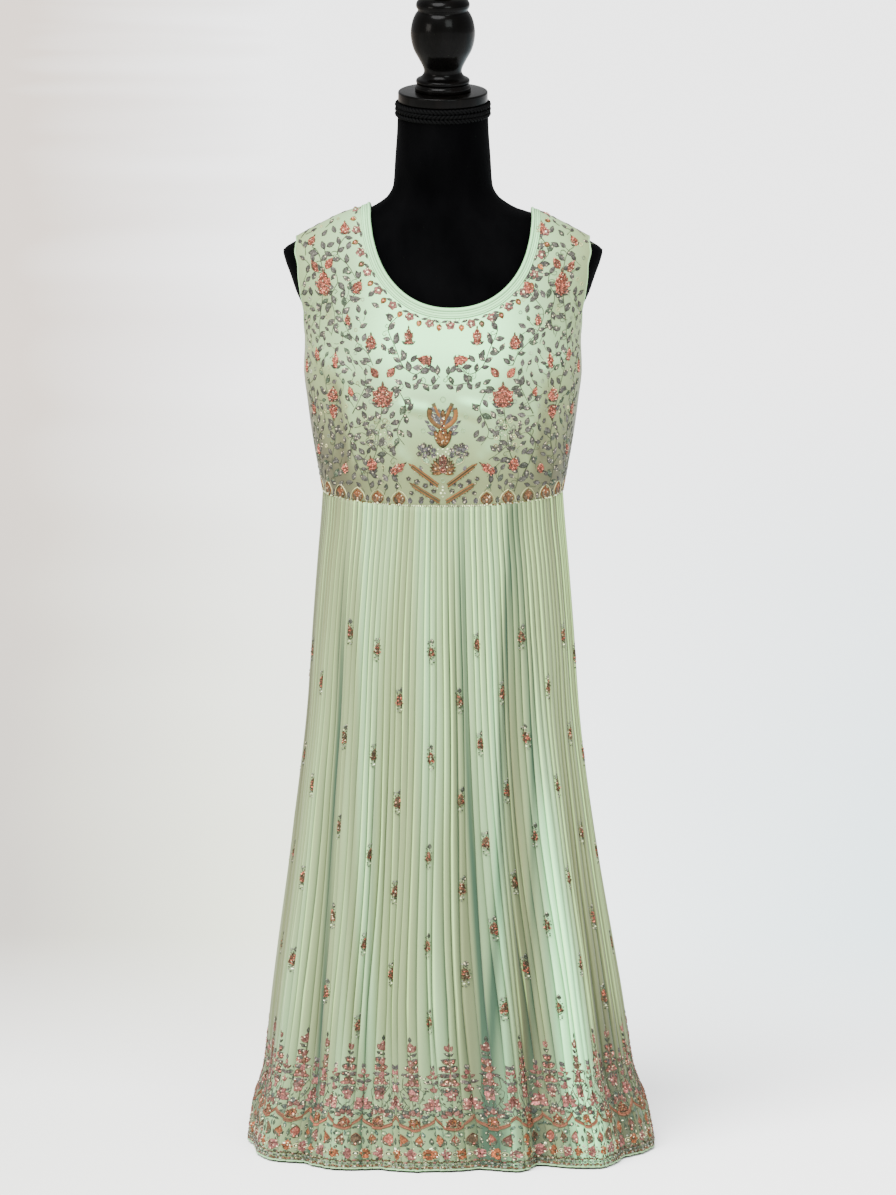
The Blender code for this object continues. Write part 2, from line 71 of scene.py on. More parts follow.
def makeCamera():
    lens = bpy.data.cameras.new("camera")
    lens.lens, lens.sensor_width, lens.clip_end = shot["lens"], shot["sensor"], shot["farthest"]
    camera = addThing("camera", lens)
    camera.location = (shot["sideways"], -shot["distance"], shot["height"])
    camera.rotation_euler = (math.radians(90 - shot["tiltDown"]), 0, 0)
    bpy.context.scene.camera = camera


def makeLights():
    world = bpy.data.worlds.new("studioAir")
    world.use_nodes = True
    sky = world.node_tree.nodes["Background"]
    sky.inputs["Color"].default_value = (*studio["skyColour"], 1)
    sky.inputs["Strength"].default_value = studio["skyStrength"]
    bpy.context.scene.world = world
    for name, (place, size, watts, colour) in studio["lamps"].items():
        lamp = bpy.data.lights.new(name, "AREA")
        lamp.shape = "SQUARE"
        lamp.size, lamp.energy, lamp.color = size, watts, colour
        holder = addThing(name, lamp)
        holder.location = place
        x, y, z = np.array(studio["aim"]) - place
        holder.rotation_euler = (math.atan2(math.hypot(x, y), -z), 0, math.atan2(-x, y))
    high, around, strength, spread = studio["sun"]
    lamp = bpy.data.lights.new("daylight", "SUN")
    lamp.energy, lamp.angle = strength, math.radians(spread)
    addThing("daylight", lamp).rotation_euler = (math.radians(90 - high), 0, math.radians(around))


makeCamera()
makeLights()
print("camera and lights set")


# finishes


def paint(colour, level=studio["level"]):
    # the paint that looks like this screen colour under the studio's light and the film's soft shoulder
    share, film = np.asarray(colour, float) / 255, studio["film"]
    return (film["gain"] * (share / (1 - share)) ** film["power"] / level).clip(0, film["brightest"])


class Link:
    # holds a node's output, and an expression on it adds Math nodes
    def __init__(self, finish, socket):
        self.finish, self.socket = finish, socket

    def maths(self, operation, *values):
        return self.finish.node("ShaderNodeMath", {"operation": operation}, dict(enumerate(values)))

    def __add__(self, other):
        return self.maths("ADD", self, other)

    def __radd__(self, other):
        return self.maths("ADD", other, self)

    def __sub__(self, other):
        return self.maths("SUBTRACT", self, other)

    def __rsub__(self, other):
        return self.maths("SUBTRACT", other, self)

    def __mul__(self, other):
        return self.maths("MULTIPLY", self, other)

    def __rmul__(self, other):
        return self.maths("MULTIPLY", other, self)

    def __pow__(self, other):
        return self.maths("POWER", self, other)

    def sine(self):
        return self.maths("SINE", self)

    def clamped(self):
        return self.finish.node("ShaderNodeClamp", {}, {0: self})

    def sibling(self, out):
        # another output of the same node
        return Link(self.finish, self.socket.node.outputs[out])


class Finish:
    # a Principled material: fixed values on its sockets, then nodes for what changes over the surface
    def __init__(self, name, fixed):
        self.material = bpy.data.materials.new(name)
        self.material.use_nodes = True
        self.tree = self.material.node_tree
        self.shader = self.tree.nodes["Principled BSDF"]
        for socket, value in fixed.items():
            self.shader.inputs[socket].default_value = value

    def node(self, kind, settings, sockets, out=0):
        made = self.tree.nodes.new(kind)
        for key, value in settings.items():
            if key == "stops":
                stops = made.color_ramp.elements
                stops.remove(stops[1])
                stops[0].position, stops[0].color = value[0][0], (*value[0][1], 1)
                for place, colour in value[1:]:
                    stops.new(place).color = (*colour, 1)
            else:
                setattr(made, key, value)
        for key, value in sockets.items():
            self.join(made.inputs[key], value)
        return Link(self, made.outputs[out])

    def join(self, socket, value):
        if isinstance(value, Link):
            self.tree.links.new(value.socket, socket)
        else:
            socket.default_value = value

    def feed(self, name, value):
        self.join(self.shader.inputs[name], value)

    def attribute(self, name, out="Fac"):
        return self.node("ShaderNodeAttribute", {"attribute_name": name}, {}, out)

    def place(self):
        return self.node("ShaderNodeTexCoord", {}, {}, "Object")

    def noise(self, scale, detail=2.0, stretch=None):
        place = self.place()
        if stretch:
            place = self.node("ShaderNodeVectorMath", {"operation": "MULTIPLY"}, {0: place, 1: stretch})
        return self.node("ShaderNodeTexNoise", {}, {"Vector": place, "Scale": scale, "Detail": detail})

    def grey(self, value):
        return self.node("ShaderNodeCombineColor", {}, {0: value, 1: value, 2: value})

    def mixed(self, share, first, second, how="MIX"):
        settings = {"data_type": "RGBA", "blend_type": how}
        return self.node("ShaderNodeMix", settings, {0: share, 6: first, 7: second}, 2)

    def ramp(self, value, stops, level=studio["level"]):
        stops = [(place, paint(colour, level)) for place, colour in stops]
        return self.node("ShaderNodeValToRGB", {"stops": stops}, {0: value})

    def bump(self, height, strength, distance):
        sockets = {"Strength": strength, "Distance": distance, "Height": height}
        self.feed("Normal", self.node("ShaderNodeBump", {}, sockets))

    def weave(self, pitch):
        # two crossed sets of yarns, read from the cloth's own map in metres
        axes = self.node("ShaderNodeSeparateXYZ", {}, {0: self.node("ShaderNodeUVMap", {}, {})})
        turns = 2 * math.pi / pitch
        return (axes * turns).sine() * (axes.sibling(1) * turns).sine()


georgette = {
    # the cloth's colour from the strongest painted light to the deepest painted shade
    "shades": [(0.0, (212, 231, 213)), (0.22, (198, 214, 190)), (0.5, (190, 200, 167)),
               (0.75, (178, 184, 147)), (1.0, (146, 144, 110))],
    # colours of the painted shadow in folds and creases and of the painted highlight on the ridges
    "crease": (98, 134, 106),
    "ridgeHighlight": (224, 234, 206),
    "weavePitch": 0.0009,
    "roughness": 0.62,
}


def clothFinish(name):
    fixed = {"Sheen Weight": 0.1, "Sheen Roughness": 0.4, "Specular IOR Level": 0.12}
    made = Finish(name, fixed)
    drift = made.noise(5.0, 3.0, (1.0, 1.0, 0.35))
    # the tone and shade value, with a slow random drift of tone, picks the colour between painted light and
    # painted shade
    shadeMix = made.attribute("warmth") + (drift - 0.5) * 0.5
    cloth = made.ramp(shadeMix * 0.62 + 0.15, georgette["shades"])
    cloth = made.mixed(1.0, cloth, made.grey(made.noise(420.0, 2.0) * 0.1 + 0.95), "MULTIPLY")
    # the painted shading value is above zero where shade is painted into the folds, and below zero where a
    # highlight is painted along the ridges
    deep = made.attribute("crease")
    cloth = made.mixed(deep * -1.0, cloth, (*paint(georgette["ridgeHighlight"]), 1))
    made.feed("Base Color", made.mixed(deep, cloth, (*paint(georgette["crease"]), 1)))
    made.feed("Roughness", made.noise(60.0) * 0.16 + georgette["roughness"] - 0.08)
    made.bump(made.weave(georgette["weavePitch"]) * 0.4 + made.noise(900.0, 1.0), 0.22, 0.0003)
    return made.material


beadwork = {
    "shine": 0.14,
    # bead-sized cells to the metre, the painted shade in the gaps between them,
    # and how often one gets a painted glint
    "cells": 430.0,
    "gap": 0.5,
    "spark": 0.87,
    "sparkle": (236, 232, 222),
    "plainBelow": 0.32,
}


def beadFinish():
    made = Finish("beadwork", {"Specular IOR Level": beadwork["shine"]})
    cell = made.node("ShaderNodeTexVoronoi", {}, {"Vector": made.place(), "Scale": beadwork["cells"]})
    kind = made.node("ShaderNodeSeparateColor", {}, {0: cell.sibling(1)})
    # painted shade in the gaps between the cells
    between = ((cell - 0.3) * 3.0).clamped()
    shade = (kind * 0.85 + 0.66) * (1.0 - between * beadwork["gap"])
    # threads, which are the dullest, stay plain
    gloss = made.attribute("gloss")
    grain = ((gloss - beadwork["plainBelow"]) * 8.0).clamped()
    tint = made.grey((shade - 1.0) * grain + 1.0)
    dyed = made.mixed(1.0, made.attribute("dye", "Color"), tint, "MULTIPLY")
    # a painted glint on a few cells, in the sparkle colour
    lit = ((kind.sibling(1) - beadwork["spark"]) * 12.0).clamped() * (1.0 - between) * grain * 0.55
    made.feed("Base Color", made.mixed(lit, dyed, (*paint(beadwork["sparkle"]), 1)))
    made.feed("Roughness", 1.0 - gloss * 0.75)
    made.feed("Metallic", made.attribute("metal"))
    made.bump(1.0 - cell, 0.3, 0.0006)
    return made.material


def velvetFinish():
    fixed = {"Sheen Weight": 0.015, "Sheen Roughness": 0.3, "Sheen Tint": (0.9, 0.9, 1.0, 1),
             "Specular IOR Level": 0.01}
    made = Finish("blackVelvet", fixed)
    brushed = made.noise(26.0, 3.0, (1.0, 1.0, 0.5))
    made.feed("Base Color", made.ramp(brushed, [(0.3, (5, 5, 6)), (0.75, (12, 12, 13))]))
    made.feed("Roughness", brushed * 0.12 + 0.82)
    made.bump(made.noise(1300.0, 3.0) + made.noise(90.0, 2.0) * 0.6, 0.5, 0.0006)
    return made.material


def cordFinish():
    made = Finish("blackCord", {"Specular IOR Level": 0.04})
    yarn = made.noise(700.0, 3.0, (1.0, 1.0, 0.4))
    made.feed("Base Color", made.ramp(yarn, [(0.3, (4, 4, 5)), (0.8, (14, 14, 15))]))
    made.feed("Roughness", yarn * 0.2 + 0.6)
    made.bump(yarn, 0.6, 0.0006)
    return made.material


def woodFinish():
    made = Finish("darkWood", {"Coat Roughness": 0.14, "Coat IOR": 1.2, "Specular IOR Level": 0.015})
    grain = made.noise(9.0, 5.0, (6.0, 6.0, 0.7))
    pores = made.noise(160.0, 3.0, (3.0, 3.0, 0.25))
    made.feed("Base Color", made.ramp(grain, [(0.25, (4, 4, 4)), (0.55, (8, 7, 6)), (0.8, (17, 12, 10))]))
    made.feed("Roughness", pores * 0.14 + grain * 0.1 + 0.24)
    made.feed("Coat Weight", 0.38 - pores * 0.2)
    made.bump(pores + grain * 0.5, 0.1, 0.0006)
    return made.material


def steelFinish():
    made = Finish("blackSteel", {"Specular IOR Level": 0.4})
    coat = made.noise(240.0, 3.0)
    rub = made.noise(14.0, 4.0)
    made.feed("Base Color", made.ramp(rub, [(0.3, (26, 26, 27)), (0.8, (40, 40, 42))]))
    made.feed("Roughness", rub * 0.2 + 0.38)
    made.feed("Metallic", rub * 0.2 + 0.3)
    made.bump(coat, 0.12, 0.0004)
    return made.material


def floorFinish():
    # a sweep of pale paper with painted light: darker and warmer to the left, cooler and lighter to the
    # right and near the gown's foot
    made = Finish("paleFloor", {"Specular IOR Level": 0.05})
    across = made.node("ShaderNodeSeparateXYZ", {}, {0: made.place()})
    away = across.sibling(1)
    side = across.maths("DIVIDE", across, away.maths("ABSOLUTE", away) + 8.0) * 6.0 + 0.5
    side = side + (made.noise(0.5, 1.0) - 0.5) * 0.12
    far = made.ramp(side, [(0.08, (214, 210, 206)), (0.32, (232, 231, 228)), (0.68, (240, 241, 241)),
                           (0.9, (232, 235, 235))], 2.9)
    middle = made.ramp(side, [(0.05, (206, 204, 200)), (0.3, (221, 222, 217)), (0.65, (226, 228, 227)),
                              (0.95, (220, 224, 225))], 2.9)
    near = made.ramp(side, [(0.0, (226, 226, 225)), (0.5, (232, 232, 231)), (1.0, (243, 247, 248))], 3.4)
    beyond = made.mixed((away * 0.12 - 0.2).clamped(), middle, far)
    made.feed("Base Color", made.mixed((away * 0.9 - 0.25).clamped(), near, beyond))
    made.feed("Roughness", made.noise(30.0) * 0.1 + 0.8)
    return made.material


cloth = clothFinish("mintGeorgette")
bandCloth = clothFinish("mintBinding")
beads = beadFinish()
velvet, cord, wood, steel = velvetFinish(), cordFinish(), woodFinish(), steelFinish()
print("finishes made")


# pieces from points and faces

front, back = -1, 1
sideNames = {front: "front", back: "back"}


def fullTurn(steps):
    return np.arange(steps) / steps * 2 * math.pi


def runAlong(path):
    # distance travelled at each point of a path
    return np.concatenate([[0], np.cumsum(np.linalg.norm(np.diff(path, axis=0), axis=1))])


def straight(vectors):
    # the same directions, each one long; a vector of no length stays as it is
    return vectors / (np.linalg.norm(vectors, axis=-1, keepdims=True) + 1e-12)


def readAt(places, run, values):
    # rows of values at these places along a run
    return np.stack([np.interp(places, run, column) for column in np.transpose(values)], axis=1)


def addPiece(name, points, faces, material, slot=None, values=None, flat=None, smooth=True):
    mesh = bpy.data.meshes.new(name)
    points = np.asarray(points, np.float32).reshape(-1, 3)
    faces = faces if isinstance(faces, list) else faces.tolist()
    mesh.from_pydata(points.tolist(), [], faces)
    for key, value in (values or {}).items():
        value = np.asarray(value, np.float32)
        if value.ndim == 2:
            layer = mesh.attributes.new(key, "FLOAT_COLOR", "POINT")
            value = np.hstack([value, np.ones((len(value), 1), np.float32)])
            layer.data.foreach_set("color", value.ravel())
        else:
            layer = mesh.attributes.new(key, "FLOAT", "POINT")
            layer.data.foreach_set("value", value)
    if flat is not None:
        corners = np.empty(len(mesh.loops), np.int32)
        mesh.loops.foreach_get("vertex_index", corners)
        layer = mesh.uv_layers.new(name="cloth")
        layer.data.foreach_set("uv", np.asarray(flat, np.float32)[corners].ravel())
    mesh.polygons.foreach_set("use_smooth", [smooth] * len(mesh.polygons))
    mesh.materials.append(material)
    mesh.validate()
    piece = addThing(name, mesh)
    if slot:
        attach(piece, "root")
    return piece


def gridFaces(columns, rows, closed=False):
    # points run down each column in turn
    here = np.arange(columns if closed else columns - 1)[:, None] * rows
    there = (np.arange(1, columns + closed)[:, None] % columns) * rows
    down = np.arange(rows - 1)[None, :]
    return np.stack([here + down, here + down + 1, there + down + 1, there + down], axis=2).reshape(-1, 4)


def tubePoints(path, normals, radius, sides=4):
    # rings of points round each point of a path
    along = straight(np.gradient(path, axis=0))
    across = straight(np.cross(along, normals))
    up = np.cross(across, along)
    turns = (fullTurn(sides) + math.pi / sides)[None, :, None]
    offsets = across[:, None, :] * np.cos(turns) + up[:, None, :] * np.sin(turns)
    return (path[:, None, :] + offsets * radius).reshape(-1, 3)


def ringPoints(path, normals, radius, sides):
    # a tube round a path that closes on itself
    path, normals = [np.concatenate([part[-1:], part, part[:1]]) for part in (path, normals)]
    return tubePoints(path, normals, radius, sides)[sides:-sides]


def tubeFaces(rings, sides=4, closed=False):
    ring = np.arange(rings if closed else rings - 1)[:, None] * sides
    following = (np.arange(1, rings + closed)[:, None] % rings) * sides
    side = np.arange(sides)[None, :]
    after = (side + 1) % sides
    return np.stack([ring + side, ring + after, following + after, following + side], axis=2).reshape(-1, 4)


def cappedFaces(columns, rows):
    # a closed grid with a face over each end
    ends = [list(range(0, columns * rows, rows)), list(range(rows - 1, columns * rows, rows))[::-1]]
    return gridFaces(columns, rows, True).tolist() + ends


# the dress form's sections shape the torso, and the bodice lies on them

formShape = {
    "height": [0.575, 0.59, 0.62, 0.68, 0.76, 0.835, 0.868, 0.89, 0.94, 0.99, 1.018, 1.058, 1.1, 1.135,
               1.162, 1.184, 1.205, 1.2165, 1.2225, 1.2285, 1.233, 1.2415, 1.2497, 1.262, 1.2725, 1.28,
               1.29, 1.305, 1.34, 1.385, 1.4167],
    "halfWidth": [0.146, 0.155, 0.159, 0.162, 0.157, 0.149, 0.148, 0.155, 0.1655, 0.1735, 0.177, 0.1815,
                  0.18, 0.1855, 0.197, 0.2045, 0.212, 0.2145, 0.209, 0.1985, 0.1905, 0.175, 0.159, 0.1335,
                  0.1, 0.086, 0.0735, 0.0665, 0.064, 0.061, 0.0603],
    "front": [0.094, 0.1, 0.103, 0.105, 0.102, 0.1, 0.103, 0.111, 0.124, 0.133, 0.1345, 0.128, 0.116, 0.103,
              0.093, 0.085, 0.078, 0.074, 0.072, 0.07, 0.0685, 0.066, 0.0635, 0.06, 0.0575, 0.056, 0.055,
              0.056, 0.059, 0.0605, 0.0603],
    "back": [0.104, 0.112, 0.116, 0.118, 0.106, 0.09, 0.088, 0.091, 0.097, 0.102, 0.105, 0.108, 0.11, 0.11,
             0.107, 0.103, 0.098, 0.094, 0.092, 0.0895, 0.0875, 0.084, 0.08, 0.0745, 0.069, 0.0665, 0.064,
             0.062, 0.0615, 0.0605, 0.0603],
    "squareness": [2.2, 2.2, 2.3, 2.3, 2.3, 2.3, 2.3, 2.35, 2.4, 2.4, 2.4, 2.4, 2.35, 2.3, 2.25, 2.2, 2.15,
                   2.1, 2.1, 2.1, 2.1, 2.1, 2.1, 2.1, 2.05, 2.05, 2.05, 2.0, 2.0, 2.0, 2.0],
    "lean": [0.0] * 22 + [0.001, 0.0025, 0.0045, 0.0055, 0.006, 0.0045, 0.0, -0.0055, -0.01],
}

bodice = {
    "wall": 0.0015,
    "lift": 0.0055,
    "neckHalfWidth": 0.1068,
    "neckShift": 0.0108,
    "neckBottom": {front: 1.1455, back: 1.205},
    "neckSquareness": 2.2,
    "shoulderTip": 1.2312,
    "armpit": 1.105,
    "seamSide": 0.896,
    "seamDip": 0.011,
    "ridge": (1.2165, 1.3),
    "armholeHeight": [1.105, 1.118, 1.1426, 1.162, 1.1836, 1.205, 1.2165, 1.2245, 1.2312],
    "armholeReach": [1.0, 0.994, 0.968, 0.944, 0.926, 0.902, 0.906, 0.94, 1.0],
    # turns round the neckline, in degrees, that lie across from the waist's corner and from the armpit,
    # and where the columns start to bend along the shoulder seam
    "waistTurn": 36.0,
    "armpitTurn": 64.0,
    "shoulderTurn": 62.0,
    "columns": 78,
    "rows": 84,
    "overlap": 0.0005,  # of the two panels at their seams
    # the cloth's tone everywhere, painted shade to the sides and towards the waist, and painted light on
    # the raised folds with painted shade in the sunk ones
    "warmth": (-0.24, 1.25, 1.15, 140),
    # reach and start of the painted shade at the sides, start and depth of the painted shade at the waist,
    # and how softly both begin
    "shadedSides": (0.2, 0.3),
    "shadedWaist": (1.1, 0.18),
    "shadeEase": 1.2,
    # soft folds: start and end in metres across and up, half-width, depth
    "folds": {front: [
        ((-0.06, 1.026), (-0.012, 1.019), 0.006, 0.0024),
        ((-0.05, 1.012), (0.004, 1.004), 0.005, -0.0018),
        ((0.02, 1.03), (0.075, 1.018), 0.006, 0.0023),
        ((0.012, 1.014), (0.06, 0.996), 0.005, -0.0019),
        ((-0.075, 0.985), (-0.04, 0.945), 0.007, 0.0021),
        ((-0.088, 1.0), (-0.06, 0.96), 0.006, -0.0018),
        ((-0.15, 1.06), (-0.132, 0.93), 0.009, -0.0025),
        ((-0.128, 1.05), (-0.112, 0.925), 0.008, 0.0021),
        ((-0.185, 1.09), (-0.12, 1.062), 0.008, 0.0024),
        ((-0.19, 1.07), (-0.14, 1.035), 0.007, -0.0018),
        ((0.15, 1.06), (0.128, 0.925), 0.009, -0.0024),
        ((0.126, 1.045), (0.11, 0.92), 0.008, 0.0019),
        ((0.188, 1.09), (0.125, 1.064), 0.008, 0.0023),
        ((0.08, 0.99), (0.045, 0.948), 0.007, 0.0018),
        ((-0.165, 1.19), (-0.15, 1.12), 0.008, -0.0018),
        ((0.165, 1.19), (0.15, 1.12), 0.008, -0.0018),
    ], back: [
        ((-0.15, 1.07), (-0.12, 0.935), 0.009, -0.0022),
        ((-0.122, 1.05), (-0.104, 0.925), 0.008, 0.0018),
        ((0.148, 1.072), (0.122, 0.93), 0.009, -0.0021),
        ((0.12, 1.046), (0.1, 0.922), 0.008, 0.0019),
        ((-0.07, 0.985), (-0.028, 0.962), 0.007, 0.0018),
        ((-0.052, 0.96), (-0.006, 0.944), 0.006, -0.0015),
        ((0.024, 0.972), (0.078, 0.952), 0.007, 0.0017),
        ((-0.176, 1.1), (-0.128, 1.066), 0.008, 0.002),
        ((0.178, 1.098), (0.13, 1.068), 0.008, 0.0021),
        ((-0.11, 1.19), (-0.15, 1.13), 0.009, 0.0016),
        ((0.108, 1.188), (0.152, 1.126), 0.009, 0.0017),
    ]},
}


def curveThrough(knots, values, height):
    # smooth curve through the values, with no overshoot
    knots, values = np.asarray(knots, float), np.asarray(values, float)
    span = np.diff(knots)
    slope = np.diff(values) / span
    tangent = np.zeros(len(knots))
    steady = slope[:-1] * slope[1:] > 0
    tangent[1:-1][steady] = 2 * (slope[:-1] * slope[1:])[steady] / (slope[:-1] + slope[1:])[steady]
    tangent[0], tangent[-1] = slope[0], slope[-1]
    height = np.clip(height, knots[0], knots[-1])
    cell = np.clip(np.searchsorted(knots, height, side="right") - 1, 0, len(span) - 1)
    t = (height - knots[cell]) / span[cell]
    start = (1 + 2 * t) * (1 - t) ** 2 * values[cell] + t * (1 - t) ** 2 * span[cell] * tangent[cell]
    end = t * t * (3 - 2 * t) * values[cell + 1] - t * t * (1 - t) * span[cell] * tangent[cell + 1]
    return start + end


def formSection(side, height):
    return [curveThrough(formShape["height"], formShape[key], height)
            for key in ("halfWidth", sideNames[side], "squareness", "lean")]


def formPoint(side, reach, height):
    width, depth, power, lean = formSection(side, height)
    y = lean + side * depth * np.maximum(0, 1 - np.abs(reach) ** power) ** (1 / power)
    return np.stack(np.broadcast_arrays(reach * width, y, height), axis=-1)


def formLevel(side, x, y, z):
    width, depth, power, lean = formSection(side, z)
    return (np.abs(x) / width) ** power + (np.abs(y - lean) / depth) ** power


def formNormal(side, points):
    x, y, z = np.moveaxis(points, -1, 0)
    width, depth, power, lean = formSection(side, z)
    step = 0.0005
    rise = (formLevel(side, x, y, z + step) - formLevel(side, x, y, z - step)) / (2 * step)
    across = power / width * (np.abs(x) / width) ** (power - 1) * np.sign(x)
    along = power / depth * (np.abs(y - lean) / depth) ** (power - 1) * side
    return straight(np.stack([across, along, rise], axis=-1))


class ArcTable:
    # arc length from the centre line round one side of the form, at every height of the bodice
    def __init__(self, side):
        self.low, self.step = 0.85, 0.002
        heights = np.arange(self.low, 1.301, self.step)
        width, depth, power, _ = [column[:, None] for column in formSection(side, heights)]
        self.reach = np.sin(np.linspace(0, math.pi / 2, 121))
        x = width * self.reach
        y = depth * np.maximum(0, 1 - self.reach ** power) ** (1 / power)
        steps = np.hypot(np.diff(x, axis=1), np.diff(y, axis=1))
        self.arc = np.hstack([np.zeros((len(heights), 1)), np.cumsum(steps, axis=1)])

    def read(self, height, value, toReach):
        height, value = np.broadcast_arrays(np.asarray(height, float), np.asarray(value, float))
        place = np.clip((height - self.low) / self.step, 0, len(self.arc) - 1.001)
        row, found = place.astype(int), np.zeros(height.shape)
        for k in np.unique(row):
            chosen = row == k
            share = (place - row)[chosen]
            for level, weight in ((k, 1 - share), (k + 1, share)):
                pair = (self.arc[level], self.reach) if toReach else (self.reach, self.arc[level])
                found[chosen] += weight * np.interp(np.abs(value[chosen]), *pair)
        return found * np.sign(value)

    def arcAt(self, reach, height):
        return self.read(height, reach, False)

    def reachAt(self, arc, height):
        return self.read(height, arc, True)


arcs = {side: ArcTable(side) for side in (front, back)}


def ridgeHeight(halfWidth):
    heights = np.linspace(*bodice["ridge"], 400)
    widths = curveThrough(formShape["height"], formShape["halfWidth"], heights)
    return np.interp(-np.asarray(halfWidth, float), -widths, heights)


def seamHeight(side, reach):
    return bodice["seamSide"] - (bodice["seamDip"] if side == front else 0.0) * (1 - reach * reach)


def bodiceFoot(side, reach):
    point = formPoint(side, reach, seamHeight(side, reach))
    return point[..., 2] + bodice["lift"] * formNormal(side, point)[..., 2]


def neckEdge(side, half, turn):
    # arc and height of the neckline, turn in degrees from the centre towards one shoulder
    turn = np.radians(turn)
    power = 2 / bodice["neckSquareness"]
    x = half * bodice["neckShift"] + bodice["neckHalfWidth"] * np.sin(turn) ** power
    top = ridgeHeight(half * bodice["neckShift"] + bodice["neckHalfWidth"])
    bottom = bodice["neckBottom"][side]
    height = bottom + (top - bottom) * (1 - np.cos(turn).clip(0) ** power)
    width = formSection(side, height)[0]
    return arcs[side].arcAt(np.clip(x / width, -1, 1), height), height


def outerEdge(side, turn):
    # arc and height of the waist, then the side seam, then the armhole
    waist, armpit = bodice["waistTurn"], bodice["armpitTurn"]
    share = (turn - armpit) / (90 - armpit)
    rise = 1 - (1 - share.clip(0)) ** 1.7
    armhole = bodice["armpit"] + (bodice["shoulderTip"] - bodice["armpit"]) * rise
    height = np.where(turn >= armpit, armhole, bodice["seamSide"] + (bodice["armpit"] - bodice["seamSide"])
                      * ((turn - waist) / (armpit - waist)).clip(0, 1))
    sewn = curveThrough(bodice["armholeHeight"], bodice["armholeReach"], height)
    reach = np.where(turn >= armpit, sewn, 1.0)
    arc = arcs[side].arcAt(reach, height)
    low = turn < waist
    arc[low] = float(arcs[side].arcAt(1.0, bodice["seamSide"])) * turn[low] / waist
    height[low] = seamHeight(side, arcs[side].reachAt(arc[low], bodice["seamSide"]))
    return arc, height


def shoulderSeam(side, half, share):
    inner = half * bodice["neckShift"] + bodice["neckHalfWidth"]
    tip = formSection(side, bodice["shoulderTip"])[0]
    height = ridgeHeight(inner + (tip - inner) * share)
    return arcs[side].arcAt(1.0, height), height


def bodiceFlat(side, half, turn, share=None, away=None):
    # arc and height in columns that run from the neckline out to the panel's other edges,
    # at a share of the column or a distance away from the neckline
    start, end = np.array(neckEdge(side, half, turn)), np.array(outerEdge(side, turn))
    if share is None:
        share = away / np.hypot(*(end - start))
    seam = np.array(shoulderSeam(side, half, share))
    first, last = np.array(shoulderSeam(side, half, np.array([0.0, 1.0]))).T
    shape = (2,) + (1,) * np.ndim(share)
    bend = seam - first.reshape(shape) - (last - first).reshape(shape) * share
    pull = ((turn - bodice["shoulderTurn"]) / (90 - bodice["shoulderTurn"])).clip(0, 1) ** 2
    return start + (end - start) * share + pull * bend


def foldHeight(folds, across, up):
    found = np.zeros(np.shape(across))
    for begin, end, width, depth in folds:
        begin, run = np.array(begin), np.array(end) - begin
        length = np.hypot(*run)
        t = ((across - begin[0]) * run[0] + (up - begin[1]) * run[1]) / length ** 2
        off = ((across - begin[0]) * run[1] - (up - begin[1]) * run[0]) / length
        ends = np.exp(-(np.maximum(0, np.abs(t - 0.5) - 0.3) / 0.16) ** 2)
        found += depth * ends * np.exp(-(off / width) ** 2)
    return found


def onBodice(side, arc, height, lift, onSeam=False):
    # points and normals of the bodice's outer face at these places, moved out by lift;
    # both panels end on one line at the side and shoulder seams
    reach = np.where(onSeam, np.sign(arc), np.clip(arcs[side].reachAt(arc, height), -1, 1))
    points = formPoint(side, reach, height)
    normals = formNormal(side, points)
    out = bodice["lift"] + lift + foldHeight(bodice["folds"][side], arc, height)
    return points + normals * out[..., None], normals


def makeBodice(side, name):
    # the waist corner and the armpit have columns of their own
    waist, armpit = bodice["waistTurn"], bodice["armpitTurn"]
    turns = np.linspace(0, 89, bodice["columns"] // 2)
    turns = np.unique(np.concatenate([turns, [waist, armpit, 89.7, 90]]))
    turns, shares = np.meshgrid(turns, np.linspace(0, 1, bodice["rows"]), indexing="ij")
    onSeam = (turns == 90.0) | ((shares == 1.0) & (turns >= waist) & (turns <= armpit))
    onSeam = np.concatenate([onSeam[:0:-1], onSeam])
    left = bodiceFlat(side, -1, turns, shares)[:, :0:-1]
    left[0] *= -1
    flat = np.concatenate([left, bodiceFlat(side, 1, turns, shares)], axis=1)
    if side == back:
        flat = flat[:, ::-1]
    arc, height = flat
    points, _ = onBodice(side, arc, height, 0.0, onSeam)
    points[..., 1] -= side * bodice["overlap"] * onSeam
    columns, rows = arc.shape
    # tone, with painted shade to the sides and the waist, and painted light and shade on the folds
    base, atSides, atWaist, inFolds = bodice["warmth"]
    (wide, after), (top, deep), ease = bodice["shadedSides"], bodice["shadedWaist"], bodice["shadeEase"]
    warmth = (base + atSides * np.clip(np.abs(arc) / wide - after, 0, 1) ** ease
              + atWaist * np.clip((top - height) / deep, 0, 1) ** ease)
    warmth = warmth - foldHeight(bodice["folds"][side], arc, height) * inFolds
    made = addPiece(name + "_cloth", points, gridFaces(columns, rows), cloth, "gown_cloth",
                    {"warmth": warmth.ravel(), "crease": np.zeros(arc.size)},
                    np.stack([arc.ravel(), height.ravel()], axis=1))
    wall = made.modifiers.new("wall", "SOLIDIFY")
    wall.thickness, wall.offset = bodice["wall"], -1
    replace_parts(made, name)
    return made


bodicePieces = {side: makeBodice(side, "bodice_" + word) for side, word in sideNames.items()}
print("bodice made")


# skirt

